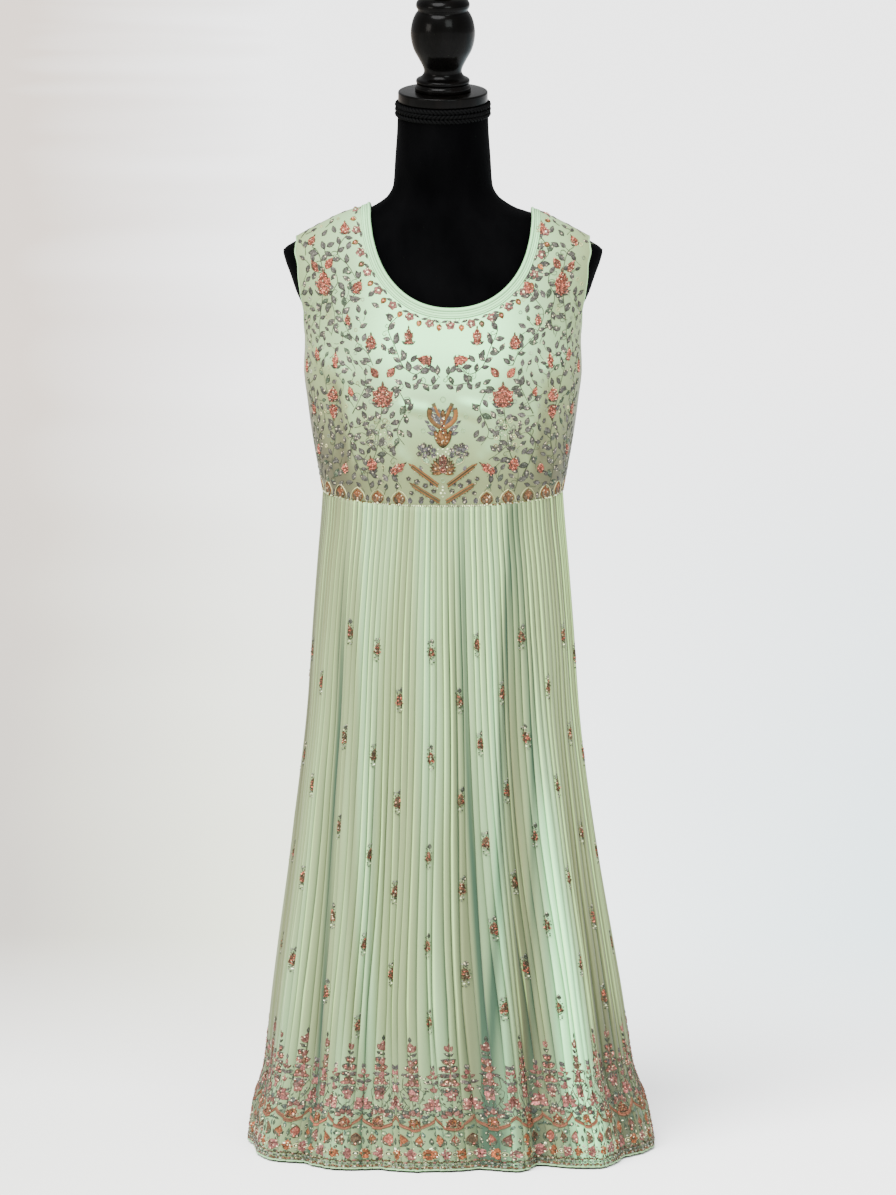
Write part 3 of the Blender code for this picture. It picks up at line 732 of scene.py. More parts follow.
skirt = {
    "pleats": 62,
    "hemLength": 1.25,
    "rows": {front: 150, back: 112},
    "seed": {front: 11, back: 23},
    "hem": 0.004,
    "depthTop": 0.0021,
    "depthHem": 0.006,
    "drift": 0.28,
    "seamGap": 0.0003,
    # from pleat to pleat: lowest and highest share of the depth, and of the painted shading
    "deepRange": (0.72, 1.28),
    "shadingRange": (0.1, 1.5),
    # slow sideways swing of the pleats: share of the panel, waves across, turn down the length
    "sway": [(0.0115, 1.3, 0.35), (0.0065, 2.6, -0.5), (0.0065, 1.8, 1.3), (0.0025, 4.7, -0.8)],
    # broad soft streaks of painted light and shade: across at the waist and at the hem, half-width, where
    # it starts, the painted shade, which is painted light below zero, and the depth of painted shadow
    "shadeStreaks": {
        front: [(0.05, 0.05, 0.045, -0.2, 0.4, 0.04), (0.15, 0.15, 0.05, -0.2, 0.16, 0.0),
                (0.205, 0.247, 0.009, 0.02, 0.1, 0.72), (0.25, 0.335, 0.014, 0.0, 0.32, 0.16),
                (0.268, 0.362, 0.02, -0.2, -0.28, 0.0), (0.336, 0.34, 0.004, 0.25, 0.0, 0.4),
                (0.395, 0.42, 0.03, -0.2, 0.3, 0.03), (0.45, 0.487, 0.022, -0.2, -0.24, 0.0),
                (0.465, 0.492, 0.03, 0.3, 0.24, 0.12), (0.55, 0.56, 0.0085, -0.1, 0.0, 0.78),
                (0.575, 0.572, 0.016, 0.3, 0.0, 0.26), (0.52, 0.54, 0.02, -0.1, 0.15, 0.1),
                (0.64, 0.585, 0.01, 0.0, -0.3, 0.0), (0.7, 0.538, 0.012, -0.1, 0.0, 0.54),
                (0.715, 0.575, 0.028, -0.2, 0.05, 0.25), (0.718, 0.705, 0.018, -0.2, 0.05, 0.3),
                (0.77, 0.64, 0.0075, 0.1, 0.0, 0.4), (0.74, 0.72, 0.026, 0.25, -0.3, 0.0),
                (0.85, 0.86, 0.045, -0.2, 0.3, 0.05), (0.93, 0.93, 0.03, 0.0, 0.2, 0.08)],
        back: [(0.08, 0.08, 0.045, -0.2, 0.36, 0.04), (0.2, 0.195, 0.008, 0.12, 0.0, 0.45),
               (0.265, 0.26, 0.03, -0.2, -0.36, 0.0), (0.36, 0.345, 0.045, -0.2, 0.34, 0.02),
               (0.43, 0.425, 0.007, 0.1, 0.0, 0.45), (0.49, 0.5, 0.03, -0.2, -0.36, 0.0),
               (0.56, 0.575, 0.009, 0.1, 0.0, 0.46), (0.64, 0.65, 0.04, -0.2, 0.32, 0.04),
               (0.735, 0.74, 0.028, -0.2, -0.4, 0.0), (0.79, 0.8, 0.008, 0.15, 0.0, 0.42),
               (0.9, 0.9, 0.05, -0.2, 0.38, 0.04)],
    },
    # the embroidered border holds the pleats flatter: from this share down, by this much
    "flattened": (0.76, 0.14, 0.62),
    "flare": 0.085,
    "flareStart": 0.55,
    # points of one pleat: how far across, how far out, lean over the pleat's own crease, and painted
    # shading:
    # painted shade in the crease above zero, painted highlight on the ridge below zero
    "pleat": {
        front: [(0.0, 0.0, 0.0, 0.8), (0.03, 0.52, -0.07, -0.1), (0.1, 0.95, -0.04, -0.45),
                (0.25, 1.0, 0.0, -0.12), (0.45, 0.88, 0.0, 0.06), (0.65, 0.66, 0.0, 0.16),
                (0.82, 0.38, 0.0, 0.34), (0.94, 0.12, 0.0, 0.62)],
        back: [(0.0, 0.0, 0.0, 0.8), (0.04, 0.55, -0.07, -0.2), (0.14, 1.0, -0.03, -0.4),
               (0.4, 0.92, 0.0, 0.04), (0.68, 0.62, 0.0, 0.24), (0.92, 0.15, 0.0, 0.6)],
    },
    # how the tone spreads from pleat to pleat, and how far the top is tucked in and up behind the bodice
    "spread": [0.1, 0.15, 0.17, 0.16, 0.17, 0.15, 0.1],
    # the cloth's tone everywhere and by pleats, painted light on the large folds' crests with painted shade
    # in their valleys, and painted shade to the sides
    "warmth": (0.06, 0.62, 40, 0.45),
    # painted shading of the pleats: at the waist, how much less at the hem, then how much darker it is
    # everywhere, more to the hem, and in the border
    "crease": (1.15, 0.5, 0.03, 0.13, 0.2),
    "tuck": (0.0064, 0.0026),
    "height": [0.0, 0.05, 0.078, 0.106, 0.162, 0.274, 0.385, 0.495, 0.605, 0.715, 0.8, 0.86, 0.896],
    "halfWidth": [0.265, 0.259, 0.25, 0.243, 0.236, 0.222, 0.207, 0.1935, 0.182, 0.1745, 0.168, 0.163,
                  0.1605],
    "frontDepth": [0.21, 0.206, 0.202, 0.197, 0.19, 0.179, 0.169, 0.159, 0.15, 0.14, 0.129, 0.12, 0.1165],
    "backDepth": [0.215, 0.21, 0.204, 0.199, 0.192, 0.18, 0.167, 0.155, 0.142, 0.13, 0.116, 0.104, 0.097],
    "squareness": [2.75, 2.7, 2.65, 2.6, 2.55, 2.5, 2.45, 2.45, 2.4, 2.4, 2.4, 2.35, 2.35],
    # large folds: angle at the waist and at the hem, half-width, depth at the hem, where it starts
    "folds": {
        front: [(-76, -74, 5.0, -0.008, 0.25), (-64, -61, 6.0, 0.01, 0.2), (-54, -48, 4.5, -0.012, 0.05),
                (-40, -36, 5.5, 0.007, 0.15), (-28, -25, 4.5, -0.007, 0.15), (-12, -8, 7.0, 0.006, 0.1),
                (7, 13, 4.5, -0.01, 0.05), (19, 24, 4.5, 0.008, 0.15), (34, 36, 5.0, -0.026, 0.1),
                (45, 48, 6.5, 0.022, 0.2), (61, 62, 5.0, -0.009, 0.25), (75, 75, 5.5, 0.006, 0.3)],
        back: [(104, 105, 6.0, -0.01, 0.2), (118, 120, 6.0, 0.009, 0.15), (132, 133, 5.0, -0.012, 0.1),
               (147, 149, 6.0, 0.008, 0.2), (162, 160, 5.0, -0.009, 0.1), (176, 178, 6.5, 0.008, 0.15),
               (191, 192, 5.0, -0.012, 0.05), (205, 208, 6.0, 0.01, 0.15), (221, 222, 5.0, -0.01, 0.2),
               (236, 235, 6.0, 0.009, 0.2), (251, 250, 5.0, -0.009, 0.25)],
    },
    # small waves between the folds: how many across a panel, how deep at the hem
    "waves": [(9.0, 0.0016), (14.0, 0.0014), (23.0, 0.001)],
}


def skirtRing(side, share, samples=541):
    turn = np.linspace(-math.pi / 2, math.pi / 2, samples) * -side
    reach = np.sin(turn)
    top = bodiceFoot(side, reach) - skirt["seamGap"]
    height = top + (skirt["hem"] - top) * share
    flare = ((skirt["flareStart"] - height) / skirt["flareStart"]).clip(0, 1) ** 1.5
    width, depth, power = [curveThrough(skirt["height"], skirt[key], height)
                           for key in ("halfWidth", sideNames[side] + "Depth", "squareness")]
    x = width * np.where(reach > 0, 1 + skirt["flare"] * flare, 1) * reach
    y = side * depth * np.maximum(0, 1 - np.abs(reach) ** power) ** (1 / power)
    angle = np.degrees(np.arctan2(x, -y))
    angle = angle % 360 if side == back else angle
    push = np.zeros(samples)
    for waist, hem, halfWidth, deep, start in skirt["folds"][side]:
        centre = waist + (hem - waist) * share
        grown = max(0.0, (share - start) / (1 - start)) ** 0.8
        push += deep * grown * np.exp(-((angle - centre) / halfWidth) ** 2)
    folded = push.copy()
    place = np.linspace(0, 1, samples)
    for count, deep in skirt["waves"]:
        turns = count * place + 0.35 * math.sin(count) + 0.5 * share * math.cos(3 * count)
        swing = np.sin(2 * math.pi * turns)
        push += deep * min(1.0, 0.15 + share) * swing * np.sin(2 * math.pi * place * 2.3 + count)
    scale = 1 + push * np.cos(turn).clip(0) ** 0.25 / np.hypot(x, y)
    return np.stack([x * scale, y * scale, height], axis=1), folded


def drifting(dice, count, low, high, share, levels=5):
    # one random number for each pleat that changes slowly down the skirt
    values = dice.uniform(low, high, (levels, count))
    place = share * (levels - 1.001)
    row = int(place)
    return values[row] * (1 - place + row) + values[row + 1] * (place - row)


class SkirtPanel:
    # the pleated panel's points and smooth normals, in columns from -X to +X as seen from outside
    def __init__(self, side):
        across, out, lean, shadingLook = np.transpose(skirt["pleat"][side])
        pleats, rows = skirt["pleats"], skirt["rows"][side]
        self.side, self.rows = side, rows
        points, normals, paintedShadings, tonesAndShades, lengths = [], [], [], [], []
        for share in np.linspace(0, 1, rows):
            ring, folded = skirtRing(side, share)
            arc = runAlong(ring)
            along = np.gradient(ring, arc, axis=0)
            facing = straight(np.stack([along[:, 1], -along[:, 0], np.zeros(len(ring))], axis=1))
            facing[[0, -1]] = np.sign(facing[[0, -1]]) * (1, 0, 0)
            dice = np.random.default_rng(skirt["seed"][side])
            shift = drifting(dice, pleats + 1, -1, 1, share) * skirt["drift"] * min(1.0, 0.25 + share)
            shift[[0, -1]] = 0
            deep = drifting(dice, pleats, *skirt["deepRange"], share)
            zone = drifting(dice, pleats, 0.0, 1.0, share, 4)
            zone = np.convolve(np.pad(zone, 3, "edge"), skirt["spread"], "valid")
            zone = zone * 1.2 + drifting(dice, pleats, -0.15, 0.15, share, 6)
            edges = (np.arange(pleats + 1) + shift) / pleats
            for swing, count, turn in skirt["sway"]:
                swing = swing * share ** 0.7 * np.sin(math.pi * edges)
                edges = edges + swing * np.sin(2 * math.pi * (count * edges + turn * share))
            width = np.diff(edges)[:, None]
            place = np.append((edges[:-1, None] + width * (across + lean)).ravel(), 1.0).clip(0, 1)
            begin, span, loss = skirt["flattened"]
            eased = float(np.clip((share - begin) / span, 0, 1))
            crisp = 1 - loss * eased * eased * (3 - 2 * eased)
            depth = (skirt["depthTop"] + (skirt["depthHem"] - skirt["depthTop"]) * share) * crisp
            rise = np.append((out * deep[:, None]).ravel() - 0.5, -0.5) * depth
            normal = straight(readAt(place * arc[-1], arc, facing))
            points.append(readAt(place * arc[-1], arc, ring) + normal * rise[:, None])
            normals.append(normal)
            # painted shade in each pleat's crease and painted highlight on its ridge, with painted shadow
            # from the streaks, darker towards the hem and in the border
            pleatShading = np.tile(shadingLook, (pleats, 1)) * drifting(dice, pleats, *skirt["shadingRange"], share)[:, None]
            streakShade, streakShadow = self.shadeStreaks(place, share)
            atWaist, less, base, atHem, inBorder = skirt["crease"]
            paintedShadings.append(np.append(pleatShading.ravel(), 0.8) * (atWaist - less * share) * crisp + streakShadow
                           + base + atHem * share + inBorder * eased)
            inward = np.interp(place * arc[-1], arc, folded)
            # tone by pleats, painted light on the large folds' crests and painted shade in their valleys,
            # painted shade to the sides
            base, byPleats, inFolds, atSides = skirt["warmth"]
            tonesAndShades.append(np.append(np.repeat(zone * byPleats + base, len(across)), 0.3)
                           - inward * inFolds + atSides * np.abs(2 * place - 1) ** 2 + streakShade)
            lengths.append(arc[-1])
        self.points, self.normals = np.array(points).swapaxes(0, 1), np.array(normals).swapaxes(0, 1)
        self.crease, self.warmth = np.array(paintedShadings).T, np.array(tonesAndShades).T
        self.columns, self.lengths = self.points.shape[0], np.array(lengths)
        self.slant = float(runAlong(self.points[self.columns // 2])[-1])

    def shadeStreaks(self, place, share):
        # sums the streaks of painted light and shade, and their painted shadow
        shadeMix, deep = np.zeros(place.shape), np.zeros(place.shape)
        for waist, hem, half, start, warmth, depth in skirt["shadeStreaks"][self.side]:
            off = (place - waist - (hem - waist) * share) / half
            swell = np.clip((share - start) / 0.22, 0, 1) * np.exp(-off ** 2)
            shadeMix, deep = shadeMix + warmth * swell, deep + depth * swell
        return shadeMix, deep

    def lengthAt(self, share):
        return np.interp(share, np.linspace(0, 1, self.rows), self.lengths)

    def place(self, flat, lift):
        column = (flat[:, 0] * (self.columns - 1)).clip(0, self.columns - 1.001)
        row = (flat[:, 1] * (self.rows - 1)).clip(0, self.rows - 1.001)
        i, j = column.astype(int), row.astype(int)
        s, t = (column - i)[:, None], (row - j)[:, None]

        def read(grid):
            top = grid[i, j] * (1 - s) + grid[i + 1, j] * s
            return top * (1 - t) + (grid[i, j + 1] * (1 - s) + grid[i + 1, j + 1] * s) * t

        return read(self.points) + straight(read(self.normals)) * np.reshape(lift, (-1, 1))

    def make(self, name):
        inward, up = skirt["tuck"]
        tucked = self.points[:, :1] - self.normals[:, :1] * inward + (0, 0, up)
        points = np.concatenate([tucked, self.points], axis=1)
        values = {key: np.hstack([grid[:, :1], grid]).ravel()
                  for key, grid in (("warmth", self.warmth), ("crease", self.crease))}
        rows = self.rows + 1
        flat = np.stack(np.meshgrid(np.linspace(0, skirt["hemLength"], self.columns),
                                    np.linspace(0, self.slant, rows), indexing="ij"), axis=2).reshape(-1, 2)
        faces = gridFaces(self.columns, rows)
        made = addPiece(name + "_cloth", points, faces, cloth, "gown_cloth", values, flat)
        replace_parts(made, name)
        return made


skirtPanels = {side: SkirtPanel(side) for side in (front, back)}
skirtPieces = {side: skirtPanels[side].make("skirt_" + word) for side, word in sideNames.items()}
print("skirt made")


# edges of the cloth

edges = {
    "armholeRadius": 0.0012,
    "armholeLift": -0.0006,
    "hemRadius": 0.0011,
    "armholeSteps": 90,
    "neckSteps": 150,
    # the neck band's section: distance out from the neckline, height over the bodice
    "bandOut": [0.0006, -0.001, -0.0012, 0.0002, 0.0014, 0.0024, 0.0031, 0.0037, 0.005, 0.006, 0.0067,
                0.0074, 0.0086, 0.0096, 0.0102, 0.0108, 0.0118, 0.0126, 0.0128],
    "bandRise": [-0.0016, -0.0008, 0.0008, 0.0021, 0.0025, 0.0021, 0.0013, 0.0007, 0.0013, 0.0012, 0.0007,
                 0.0012, 0.0013, 0.0012, 0.0007, 0.0012, 0.0012, 0.0008, -0.0003],
    "stitchRows": [0.0037, 0.0067, 0.0102],
    "stitchStep": 0.003,
    "stitchShare": 0.72,  # of the step
}


def addRoll(name, points, faces, warmth, crease):
    values = {"warmth": np.full(len(points), warmth), "crease": np.full(len(points), crease)}
    return addPiece(name, points, faces, cloth, "gown_cloth", values)


def makeArmhole(half, name):
    turns = np.linspace(bodice["armpitTurn"], 90, edges["armholeSteps"])
    path, normals = [], []
    for side, order in ((front, slice(None)), (back, slice(-2, 0, -1))):
        arc, height = outerEdge(side, turns)
        onSeam = (turns == bodice["armpitTurn"]) | (turns == 90)
        points, facing = onBodice(side, arc * half, height, edges["armholeLift"], onSeam)
        path.append(points[order])
        normals.append(facing[order])
    path, normals = np.concatenate(path), np.concatenate(normals)
    rings = ringPoints(path, normals, edges["armholeRadius"], 6)
    return addRoll(name, rings, tubeFaces(len(path), 6, True), 0.15, 0.0)


def aroundNeck(away):
    # points and normals once round the neck at a distance from the neckline: front, then back
    turns = np.linspace(0, 90, edges["neckSteps"])
    loop = []
    for side, half, order in ((front, -1, slice(None, 0, -1)), (front, 1, slice(0, -1)),
                              (back, 1, slice(None, 0, -1)), (back, -1, slice(0, -1))):
        arc, height = bodiceFlat(side, half, turns, away=away)
        points, facing = onBodice(side, arc * half, height, 0.0)
        loop.append((points[order], facing[order]))
    return [np.concatenate(part) for part in zip(*loop)]


def makeBand():
    columns = []
    for out, rise in zip(edges["bandOut"], edges["bandRise"]):
        points, facing = aroundNeck(out)
        columns.append(points + facing * rise)
    points = np.array(columns).swapaxes(0, 1)
    count, rows = points.shape[:2]
    around = runAlong(points[:, 5])
    flat = np.stack(np.broadcast_arrays(around[:, None], np.array(edges["bandOut"])[None, :]), axis=2)
    # painted shade in the band's grooves
    groove = np.tile(np.array([rise < 0.0009 for rise in edges["bandRise"]], float) * 0.75, count)
    made = addPiece("neck_band", points, gridFaces(count, rows, True)[:, ::-1], bandCloth, "binding",
                    {"warmth": np.full(count * rows, -0.1), "crease": groove}, flat.reshape(-1, 2))
    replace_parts(made, "neck_binding")
    return made


hemLines = []
for side, word in sideNames.items():
    line, facing = skirtPanels[side].points[:, -1], skirtPanels[side].normals[:, -1]
    rings = tubePoints(line, facing, edges["hemRadius"], 5)
    # a little painted shade on the hem's roll
    hemLines.append(addRoll("hem_roll_" + word, rings, tubeFaces(len(line), 5), 0.1, 0.12))
armholeRolls = [makeArmhole(-1, "armhole_roll_right"), makeArmhole(1, "armhole_roll_left")]
neckBand = makeBand()
print("edges made")


# dress form

dressForm = {
    "columns": 128,
    "rows": 170,
    "bottom": 0.5753,
    "neckTop": 1.4167,
    "tilt": 8.0,
    "tiltStart": 1.3,
    "tiltSpan": 0.07,
    "neckLean": -0.01,
    "ropeRadius": 0.0612,
    "ropeHeights": [-0.0034, -0.0097, -0.016],
    "strandRadius": 0.0019,
    "strandOffset": 0.0014,
    "ropeTwists": 34,
    "capRadius": 0.06,
    "capHeight": 0.014,
    "capEdge": 0.0022,
    "hole": 0.0005,
    "gap": 0.0003,
    "finialRadius": [0.0, 0.0085, 0.0145, 0.0165, 0.014, 0.0125, 0.019, 0.03, 0.035, 0.0358, 0.0335, 0.037,
                     0.041, 0.0431, 0.042, 0.0385, 0.032, 0.0265, 0.0255, 0.029, 0.035, 0.036, 0.035,
                     0.0372, 0.0372],
    "finialHeight": [0.16, 0.158, 0.152, 0.144, 0.1365, 0.1325, 0.129, 0.125, 0.1195, 0.114, 0.1085, 0.103,
                     0.093, 0.079, 0.067, 0.055, 0.043, 0.032, 0.025, 0.0195, 0.016, 0.0125, 0.009, 0.006,
                     0.0],
}


def makeTorso():
    heights = np.linspace(dressForm["bottom"], dressForm["neckTop"], dressForm["rows"])
    turn, height = np.meshgrid(fullTurn(dressForm["columns"]), heights[::-1], indexing="ij")
    points = np.where(np.cos(turn)[..., None] > 0, formPoint(front, np.sin(turn), height),
                      formPoint(back, np.sin(turn), height))
    tilted = ((height - dressForm["tiltStart"]) / dressForm["tiltSpan"]).clip(0, 1)
    lean = curveThrough(formShape["height"], formShape["lean"], height)
    points[..., 2] += tilted * math.tan(math.radians(dressForm["tilt"])) * (points[..., 1] - lean)
    torso = addPiece("velvet_torso", points, cappedFaces(*turn.shape), velvet, "form_velvet")
    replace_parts(torso, "form_torso")


def onNeck(points):
    # from the neck's own upright axis to its tilted place
    a = math.radians(dressForm["tilt"])
    turned = points @ np.array([[1, 0, 0], [0, math.cos(a), math.sin(a)], [0, -math.sin(a), math.cos(a)]])
    return turned + (0, dressForm["neckLean"], dressForm["neckTop"])


def makeNeckRopes():
    # three ropes of two strands, the middle one twisted the other way
    points, faces = [], []
    steps, sides, offset = dressForm["ropeTwists"] * 9, 7, dressForm["strandOffset"]
    turn = fullTurn(steps)
    out = np.stack([np.sin(turn), -np.cos(turn), np.zeros(steps)], axis=1)
    for k, height in enumerate(dressForm["ropeHeights"]):
        for strand in (0, math.pi):
            twist = turn * dressForm["ropeTwists"] * (1 if k % 2 else -1) + strand
            path = out * (dressForm["ropeRadius"] + offset * np.cos(twist))[:, None]
            path[:, 2] = height + offset * 1.15 * np.sin(twist)
            faces.append(tubeFaces(steps, sides, True) + len(points) * steps * sides)
            points.append(ringPoints(path, out, dressForm["strandRadius"], sides))
    points, faces = onNeck(np.concatenate(points)), np.concatenate(faces)
    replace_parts(addPiece("neck_rope_trim", points, faces, cord, "neck_cord"), "neck_cord")


def makeTurned(name, profile, lift, node, steps=112):
    turn = fullTurn(steps)[:, None]
    radius, height = profile.T
    x, y = np.sin(turn) * radius, -np.cos(turn) * radius
    points = np.stack([x, y, np.broadcast_to(height, x.shape) + lift], axis=2).reshape(-1, 3)
    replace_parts(addPiece(name, onNeck(points), cappedFaces(steps, len(radius)), wood, "dark_wood"), node)


def throughPoints(values, steps):
    # Catmull-Rom curve through the rows of values
    values = np.asarray(values, float)
    padded = np.vstack([2 * values[:1] - values[1:2], values, 2 * values[-1:] - values[-2:-1]])
    t = np.linspace(0, 1, steps, endpoint=False)[:, None]
    runs = []
    for a, b, c, d in zip(padded, padded[1:], padded[2:], padded[3:]):
        runs.append(0.5 * (2 * b + (c - a) * t + (2 * a - 5 * b + 4 * c - d) * t ** 2
                           + (3 * b - a - 3 * c + d) * t ** 3))
    return np.vstack(runs + [values[-1:]])


def makeForm():
    makeTorso()
    makeNeckRopes()
    edge, radius, tall = dressForm["capEdge"], dressForm["capRadius"], dressForm["capHeight"]
    hole, gap = dressForm["hole"], dressForm["gap"]
    bend = np.linspace(0, math.pi / 2, 6)
    upper = np.stack([radius - edge + edge * np.sin(bend), tall - edge + edge * np.cos(bend)], axis=1)
    lower = np.stack([radius - edge + edge * np.cos(bend), edge - edge * np.sin(bend)], axis=1)
    profile = np.vstack([[[hole, tall]], [[radius * 0.6, tall]], upper, lower, [[hole, 0.0]]])
    makeTurned("wooden_cap", profile, gap, "neck_cap")
    shape = throughPoints(np.stack([dressForm["finialRadius"], dressForm["finialHeight"]], axis=1), 6)
    makeTurned("wooden_finial", shape.clip((0.0003, 0)), 2 * gap + tall, "finial")
    for node in ("stand_base", "stand_boss", "stand_pole"):
        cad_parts[node].data.materials.clear()
        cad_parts[node].data.materials.append(steel)


makeForm()
print("dress form made")


# needlework

# dyes, each from its main shade to its rarer ones
dyes = {name: paint(shades) for name, shades in {
    "coral": [(192, 106, 90), (166, 78, 64), (214, 136, 114), (140, 60, 50), (206, 118, 96), (190, 98, 70)],
    "blush": [(228, 186, 170), (238, 208, 194), (214, 160, 142)],
    "peach": [(220, 152, 126), (204, 122, 100), (238, 196, 172)],
    "pink": [(190, 120, 124), (172, 96, 102), (212, 158, 158), (148, 78, 88)],
    "rose": [(168, 94, 94), (146, 74, 78), (188, 122, 118)],
    "leaf": [(116, 94, 106), (92, 74, 86), (140, 122, 130), (104, 96, 98), (122, 100, 114)],
    "darkLeaf": [(78, 64, 70), (62, 52, 58), (96, 82, 86), (86, 68, 78)],
    "greenLeaf": [(100, 116, 96), (82, 98, 82), (122, 136, 112)],
    "slate": [(88, 90, 96), (70, 72, 80), (112, 112, 116)],
    "vine": [(92, 88, 74), (106, 102, 86), (80, 76, 64)],
    "gold": [(182, 110, 16), (160, 91, 11), (204, 140, 36), (134, 79, 13)],
    "bronze": [(106, 66, 32), (86, 52, 26), (134, 88, 46)],
    "brick": [(158, 92, 66), (136, 74, 52), (180, 116, 86)],
    "copper": [(188, 116, 88), (168, 96, 70), (208, 144, 114)],
    "lavender": [(138, 122, 138), (108, 94, 110), (172, 160, 172)],
    "plum": [(112, 84, 94), (90, 68, 78), (138, 108, 116)],
    "pearl": [(228, 230, 218), (212, 212, 200), (238, 238, 230)],
    "silver": [(186, 188, 180), (158, 160, 154), (208, 208, 200)],
    "cream": [(216, 214, 190), (200, 196, 170)],
    "orange": [(187, 103, 36), (167, 84, 26), (206, 130, 60)],
    "rust": [(124, 64, 44), (104, 52, 36), (148, 82, 58)],
    "teal": [(108, 140, 126), (90, 122, 110), (128, 156, 142)],
    "paleMint": [(198, 212, 190), (186, 204, 182)],
    "stitch": [(150, 172, 148), (136, 158, 134)],
    "ground": [(184, 198, 172)],
}.items()}

stitching = {
    "sunk": -0.15,
    "threadGloss": 0.3,
    "satinGloss": 0.45,
    "beadGloss": 0.85,
    "beadSides": 5,
    "tilt": 0.35,
}


def spun(turn):
    # turns rows of points clockwise by these degrees
    turn = math.radians(turn)
    return np.array([[math.cos(turn), -math.sin(turn)], [math.sin(turn), math.cos(turn)]])


def clockwise(turn, wide, tall=None):
    # a place on an oval, in degrees from its top
    turn = math.radians(turn)
    return math.sin(turn) * wide, math.cos(turn) * (tall or wide)


def petalOutline(length, width, point=1.0, steps=5):
    # from the foot at the origin up to the tip and back
    along = np.linspace(0, 1, steps + 1)
    half = width / 2 * np.sin(math.pi * along ** 0.85).clip(0) ** point
    right = np.stack([half, along * length], axis=1)
    left = np.stack([-half[-2:0:-1], along[-2:0:-1] * length], axis=1)
    return np.vstack([right, left])


class BodiceCanvas:
    # flat places are the arc to the right of the centre and the height, in metres, as seen from outside
    step = 0.006

    def __init__(self, side):
        self.side = side

    def read(self, flat, lift):
        return onBodice(self.side, -self.side * flat[:, 0], flat[:, 1], lift)

    def scale(self, flat):
        normals = self.read(flat, 0.0)[1]
        return np.stack([np.ones(len(flat)), np.sqrt(1 - normals[:, 2] ** 2)], axis=1)

    def place(self, flat, lift):
        return self.read(flat, lift)[0]


class SkirtCanvas:
    # flat places are the share across the panel and the height over the hem in metres, as seen from outside
    step = 0.0022

    def __init__(self, side):
        self.panel = skirtPanels[side]

    def share(self, flat):
        return np.stack([flat[:, 0], 1 - flat[:, 1] / self.panel.slant], axis=1)

    def scale(self, flat):
        length = self.panel.lengthAt(self.share(flat)[:, 1])
        return np.stack([1 / length, np.ones(len(flat))], axis=1)

    def place(self, flat, lift):
        return self.panel.place(self.share(flat), lift)


